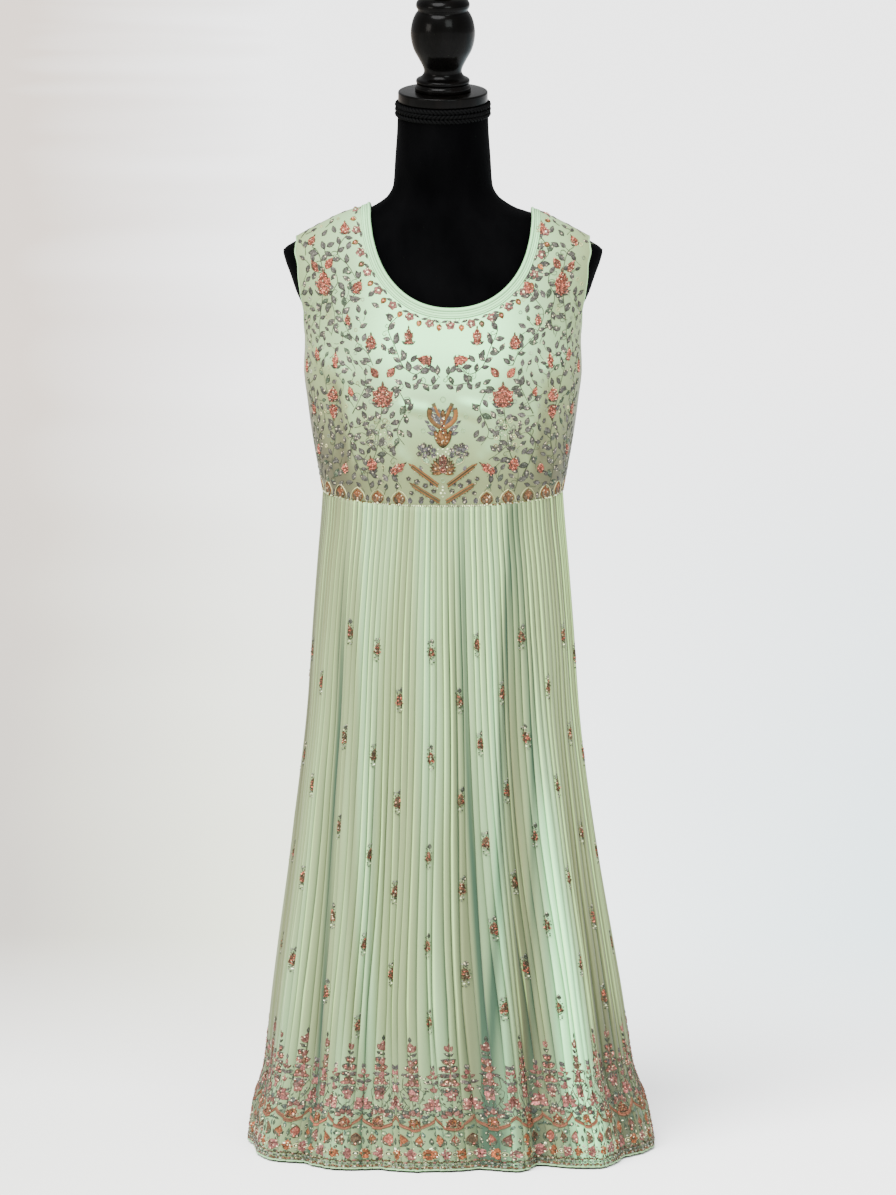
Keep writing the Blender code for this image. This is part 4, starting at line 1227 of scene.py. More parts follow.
class Needlework:
    # collects stitches and beads on a canvas; sizes are in millimetres round the current spot
    def __init__(self, canvas, seed, fade=0.15):
        # fade is how much of the cloth shows between the stitches
        self.canvas, self.dice, self.fade = canvas, np.random.default_rng(seed), fade
        self.runs = {key: [] for key in ("spots", "offsets", "lifts", "faces", "dye", "gloss", "metal")}
        self.count = 0
        self.at((0.0, 0.0))

    def at(self, spot, turn=0.0, flip=1):
        # the spot is flat, turn is in degrees clockwise, flip is -1 for a mirrored copy
        self.spot, self.flip, self.frame = np.array(spot, float), flip, spun(turn)
        return self

    def onHalf(self, sign, arc, height, turn=0.0):
        # a place in millimetres, the same on both halves of the bodice
        return self.at((sign * arc / 1000, height / 1000), turn, sign)

    def local(self, points):
        return (np.asarray(points, float) @ self.frame) * (0.001 * self.flip, 0.001)

    def keep(self, spots, offsets, lifts, faces, dye, gloss, metal=0.0):
        # faces run anticlockwise as seen from outside
        total = len(offsets)
        self.runs["spots"].append(np.broadcast_to(spots, (total, 2)))
        self.runs["offsets"].append(offsets)
        self.runs["lifts"].append(np.broadcast_to(np.asarray(lifts, float) * 0.001, total))
        self.runs["faces"] += [[corner + self.count for corner in face] for face in faces]
        self.runs["dye"].append(np.broadcast_to(dye, (total, 3)))
        self.runs["gloss"].append(np.full(total, gloss))
        self.runs["metal"].append(np.full(total, metal))
        self.count += total

    def shade(self, dye, rare=0.35):
        # mostly the main shade, sometimes another, each a little lighter or darker
        shades = dyes[dye]
        pick = 0 if self.dice.random() > rare else self.dice.integers(len(shades))
        mixed = shades[pick] * (1 - self.fade) + dyes["ground"][0] * self.fade
        return mixed * self.dice.uniform(0.8, 1.2)

    def bead(self, x, y, radius, dye, rise=None, metal=0.0, gloss=None):
        sides = stitching["beadSides"]
        turn = fullTurn(sides) + self.dice.random() * 2 * math.pi
        ring = np.stack([np.cos(turn) * self.flip, np.sin(turn)], axis=1)
        rise = radius * 0.9 if rise is None else rise
        lean = self.dice.uniform(-1, 1, 2) * stitching["tilt"]
        top = ring * radius * 0.62
        points = np.vstack([ring * radius, top]) + (x, y)
        lifts = np.concatenate([np.full(sides, stitching["sunk"]), rise + top @ lean])
        around = [[k, (k + 1) % sides, sides + (k + 1) % sides, sides + k] for k in range(sides)]
        colour = self.shade(dye)
        # the lower ring is painted darker than the top, a painted shade round the bead's foot
        shades = np.repeat([colour * 0.75, colour], sides, axis=0)
        self.keep(self.spot, self.local(points), lifts, around + [list(range(sides, 2 * sides))], shades,
                  stitching["beadGloss"] if gloss is None else gloss, metal)

    def sequin(self, x, y, radius, dye="silver"):
        self.bead(x, y, radius, dye, 0.35, 0.3, 0.95)
        self.bead(x, y, radius * 0.3, dye, 0.75)

    def patch(self, outline, dye, rise=0.7, x=0.0, y=0.0, turn=0.0, rim=0.72, gloss=None):
        # a satin-stitched shape: a low rim, a raised shoulder and a raised middle
        outline = np.asarray(outline, float) @ spun(turn) + (x, y)
        count, middle = len(outline), outline.mean(axis=0)
        points = np.vstack([outline, middle + (outline - middle) * rim, middle])
        lifts = np.repeat([stitching["sunk"], rise * 0.85, rise], [count, count, 1])
        faces = []
        for k in range(count):
            after = (k + 1) % count
            faces += [[k, after, count + after, count + k], [count + k, count + after, 2 * count]]
        colour = self.shade(dye)
        streaks = self.dice.uniform(0.85, 1.25, (count, 1))
        shades = np.vstack([np.tile(colour * 0.6, (count, 1)), colour * streaks, colour * 1.15])
        following = np.roll(outline, -1, axis=0)
        turning = (outline[:, 0] * following[:, 1] - outline[:, 1] * following[:, 0]).sum() * self.flip
        faces = faces if turning > 0 else [face[::-1] for face in faces]
        self.keep(self.spot, self.local(points), lifts, faces, shades,
                  stitching["satinGloss"] if gloss is None else gloss)

    def thread(self, path, width, dye, rise=0.55):
        # a raised line along local points
        self.line(self.spot, self.local(path), width, dye, rise)

    def trail(self, path, width, dye, rise=0.55):
        # a raised line along flat places
        path = np.asarray(path, float)
        self.flip = 1
        self.line(path, np.zeros(path.shape), width, dye, rise)

    def line(self, spots, offsets, width, dye, rise):
        spots = np.broadcast_to(spots, offsets.shape)
        metres = offsets + spots / self.canvas.scale(spots)
        run = runAlong(metres)
        even = np.linspace(0, run[-1], max(len(run), int(run[-1] / self.canvas.step) + 2))
        spots, offsets, metres = [readAt(even, run, values) for values in (spots, offsets, metres)]
        along = straight(np.gradient(metres, axis=0))
        across = np.stack([along[:, 1], -along[:, 0]], axis=1) * width * 0.0005
        count = len(offsets)
        points = np.concatenate([offsets - across, offsets, offsets + across])
        lifts = np.repeat([stitching["sunk"], rise, stitching["sunk"]], count)
        faces = []
        for k in range(count - 1):
            faces += [[k, count + k, count + k + 1, k + 1],
                      [count + k, 2 * count + k, 2 * count + k + 1, count + k + 1]]
        colours = self.shade(dye) * self.dice.uniform(0.8, 1.2, (count, 1))
        self.keep(np.tile(spots, (3, 1)), points, lifts, faces, np.tile(colours, (3, 1)),
                  stitching["threadGloss"])

    def fill(self, outline, dyeing, rise, radius=1.05, pitch=2.15):
        # staggered rows of small beads all over a shape
        outline = np.asarray(outline, float)
        after = np.roll(outline, -1, axis=0)
        low, high = outline.min(axis=0), outline.max(axis=0)
        for row, y in enumerate(np.arange(low[1] + pitch * 0.4, high[1], pitch * 0.87)):
            for x in np.arange(low[0] + pitch * (0.25 + 0.5 * (row % 2)), high[0], pitch):
                crossing = (outline[:, 1] > y) != (after[:, 1] > y)
                reach = outline[:, 0] + (y - outline[:, 1]) * (after[:, 0] - outline[:, 0]) / np.where(
                    crossing, after[:, 1] - outline[:, 1], 1.0)
                if (crossing & (reach > x)).sum() % 2:
                    drift = self.dice.uniform(-0.22, 0.22, 2) * pitch
                    dye = dyeing[int(self.dice.integers(len(dyeing)))]
                    self.bead(x + drift[0], y + drift[1], radius, dye, rise)

    def ring(self, x, y, radius, dye, width=0.9, rise=0.8):
        turn = np.linspace(0, 2 * math.pi, 9)
        points = np.stack([x + np.sin(turn) * radius, y + np.cos(turn) * radius], axis=1)
        self.thread(points, width, dye, rise)

    def petal(self, x, y, turn, length, width, dye, rise=0.8, point=0.8):
        self.patch(petalOutline(length, width, point), dye, rise, x, y, turn)

    def edged(self, x, y, turn, length, width, dye, edge, rise=0.9, point=0.85):
        # a petal with a raised thread round it
        self.petal(x, y, turn, length, width, dye, rise, point)
        outline = petalOutline(length, width, point) @ spun(turn) + (x, y)
        self.thread(np.vstack([outline, outline[:1]]), 1.1, edge, rise * 1.15)

    def leaf(self, x, y, turn, length, width, dye="leaf"):
        # a beaded leaf, darker round its edge
        self.patch(petalOutline(length, width, 1.0, 4), dye, 0.8, x, y, turn, 0.62)

    def rosette(self, x, y, radius, dye="pink", heart="gold", petals=5):
        turn = math.degrees(self.dice.random() * 6.3)
        corners = fullTurn(8)
        self.patch(np.stack([np.sin(corners), np.cos(corners)], axis=1) * radius * 0.86, dye, 0.6, x, y)
        for k in range(petals):
            right, up = clockwise(turn + 360 * k / petals, radius * 0.58)
            self.bead(x + right, y + up, radius * 0.46, dye, 0.9, gloss=0.6)
        self.bead(x, y, radius * 0.32, heart, 1.4)

    def finish(self, name, slot="gown_cloth"):
        spots, offsets = np.concatenate(self.runs["spots"]), np.concatenate(self.runs["offsets"])
        flat = spots + offsets * self.canvas.scale(spots)
        points = self.canvas.place(flat, np.concatenate(self.runs["lifts"]))
        values = {key: np.concatenate(self.runs[key]) for key in ("dye", "gloss", "metal")}
        made = addPiece(name, points, self.runs["faces"], beads, slot, values, smooth=False)
        print(name, "has", sum(len(face) - 2 for face in self.runs["faces"]), "triangles")
        return made


# bodice needlework

bodiceDesign = {
    # places are the arc from the centre line and the height, in millimetres, for both sides of the gown
    # flowers: arc, height, width, length, lean in degrees
    "blooms": [(132, 1246, 13, 18, 10), (178, 1229, 10, 15, -15), (160, 1177, 20, 30, 0),
               (113, 1173, 13, 17, -25), (127, 1130, 8, 14, 5), (45, 1110, 11, 21, 0),
               (95, 1102, 14, 19, 0), (178, 1082, 9, 15, 8), (210, 1065, 8, 16, 0), (145, 1076, 8, 19, 0),
               (24, 1080, 13, 18, 78), (153, 1032, 15, 17, 0), (152, 1010, 12, 18, 180),
               (123, 1038, 7, 12, 20), (94, 943, 13, 17, 12), (134, 935, 10, 13, 0), (59, 938, 11, 21, -52),
               (196, 1010, 9, 15, 10), (190, 955, 9, 14, -8)],
    "largeFlower": (79, 1033, 27, 31),
    "petals": [(172, 1199, 32), (152, 1203, -32), (90, 1063, 38), (68, 1064, -38)],
    "vines": [
        [(150, 905), (158, 940), (150, 975), (156, 1010), (166, 1050), (176, 1085), (172, 1120),
         (165, 1150), (163, 1165)],
        [(160, 1190), (166, 1215), (176, 1222)],
        [(95, 905), (100, 930), (88, 960), (84, 990), (80, 1018)],
        [(92, 1072), (100, 1088), (118, 1105), (128, 1118), (135, 1140), (120, 1160), (114, 1166)],
        [(113, 1180), (125, 1200), (140, 1215), (134, 1232), (128, 1238)],
        [(4, 1058), (20, 1072), (35, 1062), (52, 1072), (62, 1095), (72, 1120), (60, 1135)],
        [(40, 1048), (28, 1050), (14, 1048), (6, 1058)],
        [(60, 1045), (48, 1020), (56, 1000), (60, 985), (50, 970)],
        [(60, 950), (75, 960), (92, 975), (110, 985), (125, 970), (118, 950), (105, 925)],
        [(120, 1010), (110, 1030), (100, 1050)],
        [(185, 915), (192, 945), (186, 985), (198, 1020), (204, 1050)],
        [(145, 1195), (140, 1180), (150, 1160), (146, 1135), (152, 1110)],
    ],
    # leaves that stand on their own: arc, height, lean
    "leafSpots": [(156, 1263, 60), (170, 1256, 60), (191, 1246, 20), (161, 1239, -30), (148, 1244, 30),
                  (150, 1226, -60), (125, 1226, -20), (146, 1195, 40), (129, 1195, -40), (113, 1189, 20),
                  (128, 1184, 60), (174, 1187, -20), (181, 1167, 10), (133, 1164, -30), (120, 1158, 45),
                  (94, 1165, -45), (89, 1150, 60), (112, 1145, 10), (105, 1123, -60), (170, 1147, 30),
                  (145, 1121, -30), (125, 1108, 30), (104, 1108, -20), (70, 1136, 70), (61, 1110, -20),
                  (46, 1048, 40), (35, 1047, -30), (23, 1046, 40), (9, 1046, -60), (14, 1069, 30),
                  (52, 1088, 20), (60, 1080, 60), (68, 1092, -30), (78, 1096, 30), (84, 1078, -50),
                  (38, 1082, -40), (58, 1052, 60), (60, 1040, 100), (98, 1052, -60), (98, 1040, -100),
                  (104, 1020, 20), (66, 1010, -30), (48, 1004, 10), (42, 1020, -40), (70, 985, 50),
                  (44, 985, 30), (98, 985, -30), (112, 1000, 20), (132, 990, -20), (140, 965, 30),
                  (120, 925, -20), (108, 960, 40), (76, 925, 30), (66, 965, -40)],
    # the crowd of small leaves: clear distance, tries, how far out it begins above and below a height,
    # its reach across and up, how far it stays off the armhole, and the oval it keeps clear for the neck:
    # centre's height, flatness, radius
    "crowd": {"least": 0.0098, "tries": 5200, "from": (0.1, 0.06), "turn": 1.006, "across": 0.212,
              "up": (0.912, 1.262), "off": 0.006, "oval": (1.3, 0.75, 0.15)},
    "filigree": (82, 986),
    "plume": (0, 966),
    "lotus": (0, 928),
    "rings": [(6, 1128), (19, 1132), (30, 1008), (26, 990)],
}

neckBorder = {"away": 0.0212, "pitch": 0.0272, "rosette": 6.8}

# millimetres along and over the waist seam
waistDesign = {"pitch": 14.4, "rise": 9.5, "beadPitch": 2.9, "beadRise": 2.2}


def headOutline(wide, tall, waves=5):
    # a flower head from its foot round by the right: full below, pointed at the top, wavy at the edge
    up = np.linspace(0, 1, 10)
    wavy = 1 + 0.13 * np.sin(math.pi * waves * up)
    half = wide / 2 * (np.sin(math.pi * up ** 0.72).clip(0) ** 0.62) * wavy
    right = np.stack([half, (up - 0.5) * tall], axis=1)
    return np.vstack([right, right[-2:0:-1] * (-1, 1)])


def bloom(work, wide, tall):
    wide, tall = wide * 1.12, tall * 1.12
    foot = -tall / 2
    for side in (-1, 1):
        work.leaf(side * wide * 0.1, foot + tall * 0.02, side * 58, tall * 0.42, tall * 0.2, "darkLeaf")
        work.petal(side * wide * 0.1, foot + tall * 0.36, side * 26, tall * 0.44, wide * 0.34, "coral", 0.9)
    work.patch(headOutline(wide * 0.9, tall), "coral", 0.8)
    dyeing = ("coral", "blush", "rose", "coral", "peach", "blush")
    work.fill(headOutline(wide * 0.9, tall * 0.96), dyeing, 1.7)
    work.leaf(0, foot + tall * 0.9, 0, tall * 0.26, wide * 0.22, "rust")


def largeFlower(work, wide, tall):
    # a full head of small beads with its sepals spread below
    for side in (-1, 1):
        work.leaf(side * wide * 0.1, -tall * 0.46, side * 66, tall * 0.46, tall * 0.2, "leaf")
        work.leaf(side * wide * 0.36, tall * 0.26, side * 70, tall * 0.48, tall * 0.22, "darkLeaf")
        work.petal(side * wide * 0.18, -tall * 0.1, side * 42, tall * 0.44, wide * 0.32, "coral", 0.9)
    work.patch(headOutline(wide, tall, 7), "coral", 0.8)
    dyeing = ("coral", "rust", "blush", "coral", "blush", "rose")
    work.fill(headOutline(wide * 0.97, tall * 0.96, 7), dyeing, 1.8)
    work.leaf(0, tall * 0.36, 0, tall * 0.3, tall * 0.14, "rust")
    work.ring(-wide * 0.62, -tall * 0.08, 3.0, "pearl")
    work.ring(wide * 0.6, -tall * 0.22, 2.6, "silver")


def filigree(work):
    # pale loops and sequins, almost the colour of the cloth
    for side in (-1, 1):
        for x, y, radius, dye in ((6, 16, 3.4, "cream"), (11, 7, 3.0, "silver"), (5, 0, 3.6, "paleMint"),
                                  (12, -6, 3.2, "cream"), (6, -14, 3.0, "silver"), (13, -17, 2.6, "cream")):
            work.ring(side * x, y, radius, dye, 1.0)
            work.bead(side * x, y, 1.1, "pearl", 1.2)
        stem = np.array([(0, 20), (4, 10), (9, 2), (6, -8), (10, -22)]) * (side, 1)
        work.thread(stem, 0.8, "greenLeaf", 0.5)
        work.leaf(side * 10, -22, side * 30, 9, 4.6)
        work.leaf(side * 16, 2, side * 62, 9, 4.6)
    work.ring(0, 8, 3.0, "cream", 1.0)
    work.sequin(0, -3, 2.0, "pearl")
    work.sequin(-1, -16, 1.8, "pearl")


def vine(work, path, width=1.5, dye="vine", leafEvery=0.0108, leafLength=14.6):
    # a stem with a leaf now to one side and now to the other
    path = throughPoints(path, 7)
    work.at((0.0, 0.0)).trail(path, width, dye, 0.45)
    steps = np.diff(path, axis=0) / work.canvas.scale(path[:-1])
    run = np.concatenate([[0], np.cumsum(np.hypot(*steps.T))])
    side = 1 if work.dice.random() < 0.5 else -1
    for reach in np.arange(leafEvery * 0.6, run[-1] - leafEvery * 0.2, leafEvery):
        k = min(int(np.searchsorted(run, reach)), len(steps)) - 1
        lean = math.degrees(math.atan2(steps[k, 0], steps[k, 1])) + side * work.dice.uniform(32, 62)
        length = leafLength * work.dice.uniform(0.75, 1.15)
        dye = "leaf" if work.dice.random() < 0.88 else "greenLeaf"
        work.at(path[k], lean).leaf(0, 0.4, 0, length, length * 0.57, dye)
        if work.dice.random() < 0.5:
            work.at(path[k], lean + 180 + side * 25, side)
            curl = [(0, 0), (2.0, 4.0), (1.4, 8.0), (-1.6, 9.8), (-4.0, 8.0), (-3.2, 5.6)]
            work.thread(curl, 0.8, "vine")
            work.bead(-2.6, 5.0, 1.0, "paleMint", 0.9)
        side = -side


def plume(work):
    # the gold crown of the middle motif: bowed feathers and a forked one over a bud of four petals
    crown = np.array([(0, 26), (9, 30), (17, 38), (20, 46), (17.5, 54),
                      (13.5, 60), (11, 53), (7, 56), (4, 49), (0, 53)])
    work.patch(np.vstack([crown, crown[-2:0:-1] * (-1, 1)]), "lavender", 0.12, rim=0.9, gloss=0.5)
    for side in (-1, 1):
        for x, foot, lean, length, wide in ((8, 22, 52, 17, 8), (9, 18, 72, 13, 6), (17, 33, 58, 9, 4.4)):
            work.leaf(side * x, foot, side * lean, length, wide, "lavender")
        feather = [(1, 27), (9, 32), (15.5, 39), (17.6, 47), (15.5, 54)]
        fork = [(0.5, 32), (4, 41), (7.5, 49), (12.5, 60)]
        for path, width in ((feather, 8.2), (fork, 6.4)):
            path = throughPoints(np.array(path) * (side, 1), 3)
            work.thread(path, width, "bronze", 0.8)
            work.thread(path[:-1], width - 1.5, "gold", 1.4)
        for lean, length in ((24, 29), (8, 29)):
            work.edged(0, 0, side * lean, length, 9.2, "gold", "bronze", 0.9)
        work.thread([(side * 0.6, 2), (side * 5.4, 14), (side * 8.8, 25)], 1.2, "bronze", 1.5)
        for x, y in ((9.5, 42), (12, 47), (11.5, 51), (7.5, 38)):
            work.bead(side * x, y, 1.1, ("plum", "silver")[y % 2], 1.3)
    work.thread([(0, 2), (0, 14), (0, 26)], 1.1, "bronze", 1.5)
    work.edged(0, 36, 0, 17, 6.4, "gold", "bronze", 1.0)
    for k in range(18):
        x = work.dice.uniform(-4.0, 4.0) * (1 if k < 9 else 0.45)
        work.bead(x, 20 + k * 1.15, 1.3, ("pink", "pearl", "rose", "coral")[k % 4], 2.1)
    work.ring(0, 65, 3.4, "paleMint", 1.1)


def lotus(work):
    # the open flower below the plume, over two pairs of gold chevrons
    petals = ((102, 15, "gold"), (85, 17, "brick"), (69, 18.5, "gold"), (53, 20, "brick"), (38, 21, "gold"),
              (25, 22, "rust"), (12, 24, "rose"))
    for side in (-1, 1):
        for lean, length, dye in petals:
            work.edged(0, 6, side * lean, length, 5.8, dye, "bronze", 0.9)
        work.petal(side * 17, 18, side * 52, 14, 7.5, "paleMint", 0.6)
        curl = np.array([(15, 17), (18, 26), (27, 29), (27, 21), (18, 16)]) * (side, 1)
        work.thread(throughPoints(curl, 3), 1.1, "cream", 0.9)
        for start, end in (((40.5, 14), (6.5, -13)), ((39.5, -13), (4.5, -36))):
            points = np.array([start, end], float) * (side, 1)
            for shift, width, dye in ((0, 7.4, "bronze"), (2.2, 2.2, "gold"), (-2.2, 2.2, "gold")):
                work.thread(points + (0, shift), width, dye, 1.4 if shift else 0.6)
            for t in np.linspace(0.1, 0.98, 10):
                x, y = points[0] * (1 - t) + points[1] * t
                work.bead(x, y - 4.8, 0.9, "silver" if work.dice.random() < 0.5 else "bronze", 1.2)
            work.leaf(points[0, 0] - side * 1, points[0, 1] - 1, side * 50, 8, 3.6, "gold")
        for x, y, radius in ((34, -8, 4.4), (23, -13.5, 4.2), (12, -21, 4.0), (45, -4, 3.6), (15, -12, 3.0),
                             (28, -32, 3.6), (41, -24, 3.6)):
            work.rosette(side * x, y, radius, "plum", "lavender")
        for x, y in ((12, 36), (19, 32), (26, 36), (17, 41), (24, 28), (31, 31), (12, 29), (30, 40),
                     (20, 38), (25, 43)):
            work.rosette(side * x, y, 4.2, "plum" if x % 2 else "lavender", "lavender")
        work.leaf(side * 27, 6, side * 20, 10, 5.4, "lavender")
    for x, y in ((0, 31), (-4, 34), (4, 34), (-7, 31), (7, 31), (-3, 28), (3, 28), (0, 38), (6, 38),
                 (-6, 38), (0, -15), (0, -20), (-2.5, -24), (2.5, -24), (0, -29)):
        work.sequin(x, y, 1.9, "pearl")
    work.petal(0, 11, 0, 22, 11, "rose", 1.2)
    work.fill(headOutline(10, 18, 3) + (0, 21), ("rose", "coral", "rust", "pink"), 2.0)
    for k in range(12):
        x, y = clockwise(30 * k, 3.6)
        work.bead(x, 9 + y, 1.2, "pink", 2.1)
    work.bead(0, 9, 2.2, "blush", 2.5)
    work.ring(0, -6, 3.0, "paleMint")


def waistBorder(work, side):
    # drops under pale arches, grey pairs between them, and a beaded line over the seam
    seam = arcs[side].arcAt(1.0, bodice["seamSide"]) * 1000
    pitch = waistDesign["pitch"]
    for k in range(1, int((seam - 5) / pitch) + 1):
        for sign in (-1, 1):
            foot = 1000 * seamHeight(side, k * pitch / seam)
            work.onHalf(sign, k * pitch, foot + waistDesign["rise"])
            if k < 4 or k % 2:
                work.leaf(0, -6.5, 0, 11, 7.5, "lavender" if k < 4 else "leaf")
                work.bead(0, -4.4, 1.0, "silver", 1.4)
                continue
            work.edged(0, -8.5, 0, 19, 16.5, "orange", "gold", 0.7, 0.9)
            for hand in (-1, 1):
                work.petal(hand * 1.4, -7, hand * 24, 12.5, 6.4, "rust", 1.1)
            work.leaf(0, -7, 0, 14, 4.0, "orange")
            work.bead(0, -6.2, 1.8, "pearl", 2.0)
            bend = np.linspace(-math.pi / 2, math.pi / 2, 9)
            over = -5 + np.cos(bend) * 18 * (1 - 0.18 * np.abs(np.sin(bend)))
            work.thread(np.stack([np.sin(bend) * 11.5, over], axis=1), 1.1, "cream", 0.8)
    for arc in np.arange(-seam + 1.5, seam - 1, waistDesign["beadPitch"]):
        work.onHalf(1, arc, 1000 * seamHeight(side, arc / seam) + waistDesign["beadRise"])
        work.bead(0, 0, 1.35, "gold" if work.dice.random() < 0.35 and abs(arc) > 55 else "pearl", 1.2)


def neckRosettes(work, side):
    turns = np.linspace(0, 90, 181)
    for half in (-1, 1):
        path, inner = [bodiceFlat(side, half, turns, away=neckBorder["away"] - nearer).T
                       for nearer in (0, 0.004)]
        run = runAlong(path)
        for k, reach in enumerate(np.arange(0, run[-1] - 0.004, neckBorder["pitch"] / 2)):
            if k == 0 and half < 0:
                continue
            j = int(np.searchsorted(run, reach))
            out = path[j] - inner[j]
            right = half * -side
            work.at(path[j] * (right, 1), math.degrees(math.atan2(out[0], out[1])) * right)
            if k % 2 == 0:
                work.rosette(0, 0, neckBorder["rosette"], "pink", "pearl")
                for turn in (-1, 1):
                    work.leaf(turn * 3.0, -6.0, turn * 74, 10.5, 4.2, "leaf")
            else:
                work.petal(0, -1.5, 0, 11.0, 8.0, "gold", 1.0)
                work.bead(0, 4.0, 1.6, "blush", 1.9)
                work.bead(0, 1.0, 1.2, "bronze", 1.7)


def crowdLeaves(work, design, taken):
    # small leaves fill what is left at the sides, each clear of the others
    crowd, placed = design["crowd"], list(taken)
    for _ in range(crowd["tries"]):
        arc = work.dice.uniform(crowd["from"][1], crowd["across"])
        height = work.dice.uniform(*crowd["up"])
        reach = curveThrough(bodice["armholeHeight"], bodice["armholeReach"], max(height, bodice["armpit"]))
        tooNear = height > crowd["turn"] and arc < crowd["from"][0]
        outside = arc > float(arcs[front].arcAt(reach, height)) - crowd["off"]
        middle, flatness, radius = crowd["oval"]
        inNeck = height > bodice["neckBottom"][front] - 0.0005
        inNeck = inNeck and math.hypot(arc, (height - middle) * flatness) < radius
        if tooNear or outside or inNeck or min(math.hypot(arc - a, height - h)
                                               for a, h in placed) < crowd["least"]:
            continue
        placed.append((arc, height))
        for sign in (-1, 1):
            work.at((sign * arc, height), work.dice.uniform(-80, 80), sign)
            if work.dice.random() < 0.13:
                work.ring(0, 0, 2.2, "cream" if work.dice.random() < 0.5 else "silver")
            else:
                length = work.dice.uniform(9.5, 14.5)
                dye = "leaf" if work.dice.random() < 0.88 else "greenLeaf"
                work.leaf(0, -length / 2, 0, length, length * 0.55, dye)
                work.thread([(0, -length / 2), (0.6, -length * 0.9), (2.0, -length * 1.2)], 0.9, "vine")


def sewBodiceFront():
    work = Needlework(BodiceCanvas(front), 5)
    design, taken = bodiceDesign, []
    for sign in (-1, 1):
        for path in design["vines"]:
            vine(work, np.array(path) * (sign * 0.001, 0.001))
        for arc, height, wide, tall, lean in design["blooms"]:
            bloom(work.onHalf(sign, arc, height, lean), wide, tall)
        arc, height, wide, tall = design["largeFlower"]
        largeFlower(work.onHalf(sign, arc, height), wide, tall)
        filigree(work.onHalf(sign, *design["filigree"]))
        for arc, height, lean in design["petals"]:
            work.onHalf(sign, arc, height, lean).petal(0, -9, 0, 18, 11, "coral", 1.0)
            work.fill(petalOutline(16, 9.5) - (0, 8), ("coral", "rust", "blush", "coral"), 1.7)
        for arc, height in design["rings"]:
            work.onHalf(1, sign * arc, height).ring(0, 0, 2.8, "paleMint", 1.0)
        for arc, height, lean in design["leafSpots"]:
            work.onHalf(sign, arc, height, lean).leaf(0, -7, 0, 14, 7.8)
    for key in ("blooms", "leafSpots", "petals"):
        taken += [(row[0] / 1000, row[1] / 1000) for row in design[key]]
    taken += [(x / 1000, y / 1000) for path in design["vines"] for x, y in throughPoints(path, 3)]
    crowdLeaves(work, design, taken)
    plume(work.onHalf(1, *design["plume"]))
    lotus(work.onHalf(1, *design["lotus"]))
    neckRosettes(work, front)
    waistBorder(work, front)
    return work.finish("bodice_needlework_front")


def sewBodiceBack():
    work = Needlework(BodiceCanvas(back), 6)
    neckRosettes(work, back)
    waistBorder(work, back)
    return work.finish("bodice_needlework_back")


def sewNeckBand():
    # rows of short stitches in the grooves of the band
    made = []
    step = edges["stitchStep"]
    for side, word in sideNames.items():
        work = Needlework(BodiceCanvas(side), 7)
        turns = np.linspace(0, 90, 241)
        for away in edges["stitchRows"]:
            for half in (-1, 1):
                path = bodiceFlat(side, half, turns, away=away).T * (half * -side, 1)
                run = runAlong(path)
                for start in np.arange(0.0005, run[-1] - step, step):
                    ends = np.array([start, start + step * edges["stitchShare"]])
                    work.trail(readAt(ends, run, path), 0.75, "stitch", 1.15)
        made.append(work.finish("neck_stitches_" + word, "binding"))
    return made


neckStitches = sewNeckBand()
bodiceWork = {front: sewBodiceFront(), back: sewBodiceBack()}
print("bodice needlework made")


# skirt needlework

skirtDesign = {
    # sprigs: share across the panel, then the shares down it
    "sprigs": [
        (0.065, (0.24, 0.4, 0.55, 0.69)), (0.155, (0.28, 0.435, 0.575, 0.7)),
        (0.247, (0.195, 0.355, 0.49, 0.625, 0.74)), (0.335, (0.215, 0.375, 0.525, 0.66, 0.785)),
        (0.398, (0.29, 0.445, 0.58, 0.705)), (0.47, (0.215, 0.375, 0.525, 0.66, 0.775)),
        (0.537, (0.29, 0.44, 0.575, 0.705)), (0.591, (0.205, 0.355, 0.505, 0.635, 0.755)),
        (0.655, (0.28, 0.43, 0.57, 0.7)), (0.712, (0.2, 0.35, 0.5, 0.635, 0.76)),
        (0.785, (0.28, 0.43, 0.57, 0.7)), (0.86, (0.21, 0.36, 0.51, 0.64, 0.76)),
        (0.94, (0.25, 0.4, 0.55, 0.69)),
    ],
    "backSprigs": 14,
    "backRows": [(0.21, 0.36, 0.51, 0.64, 0.76), (0.285, 0.435, 0.575, 0.7)],
    # how many of each stand round one panel's hem, the beads' pitch in mm, the rows' heights over the hem
    "repeats": 17,
    "buds": 39,
    "flowers": 40,
    "beadPitch": 2.6,
    "budHeights": (0.0385, 0.041),
    "flowerHeight": 0.0205,
}


def sprig(work):
    # a rust cluster of beads, a dark leaf and silver beads above it, a ring of them below
    work.patch(headOutline(9.0, 18, 3), "rust", 0.9)
    work.fill(headOutline(9.4, 17.5, 3), ("rust", "copper", "rust", "peach", "coral", "rust"), 1.8)
    for k in range(12):
        work.bead(*clockwise(30 * k, 5.0, 9.4), 0.9, "darkLeaf" if k % 3 else "greenLeaf", 1.0)
    work.leaf(1.6, 8.5, 4, 9.5, 5.0, "darkLeaf")
    for x, y in ((-2.4, 10.5), (-1.0, 13.2), (-3.4, 13.0), (1.6, 16.0)):
        work.bead(x, y, 1.1, "silver", 1.5)
    work.bead(-4.2, 10.4, 0.9, "darkLeaf", 1.2)
    for k in range(8):
        x, y = clockwise(45 * k + 22.5, 3.3, 3.6)
        work.bead(x, y - 13.2, 1.05, "silver" if k % 2 else "darkLeaf", 1.4)
    work.bead(0, -13, 1.2, "pearl", 1.4)


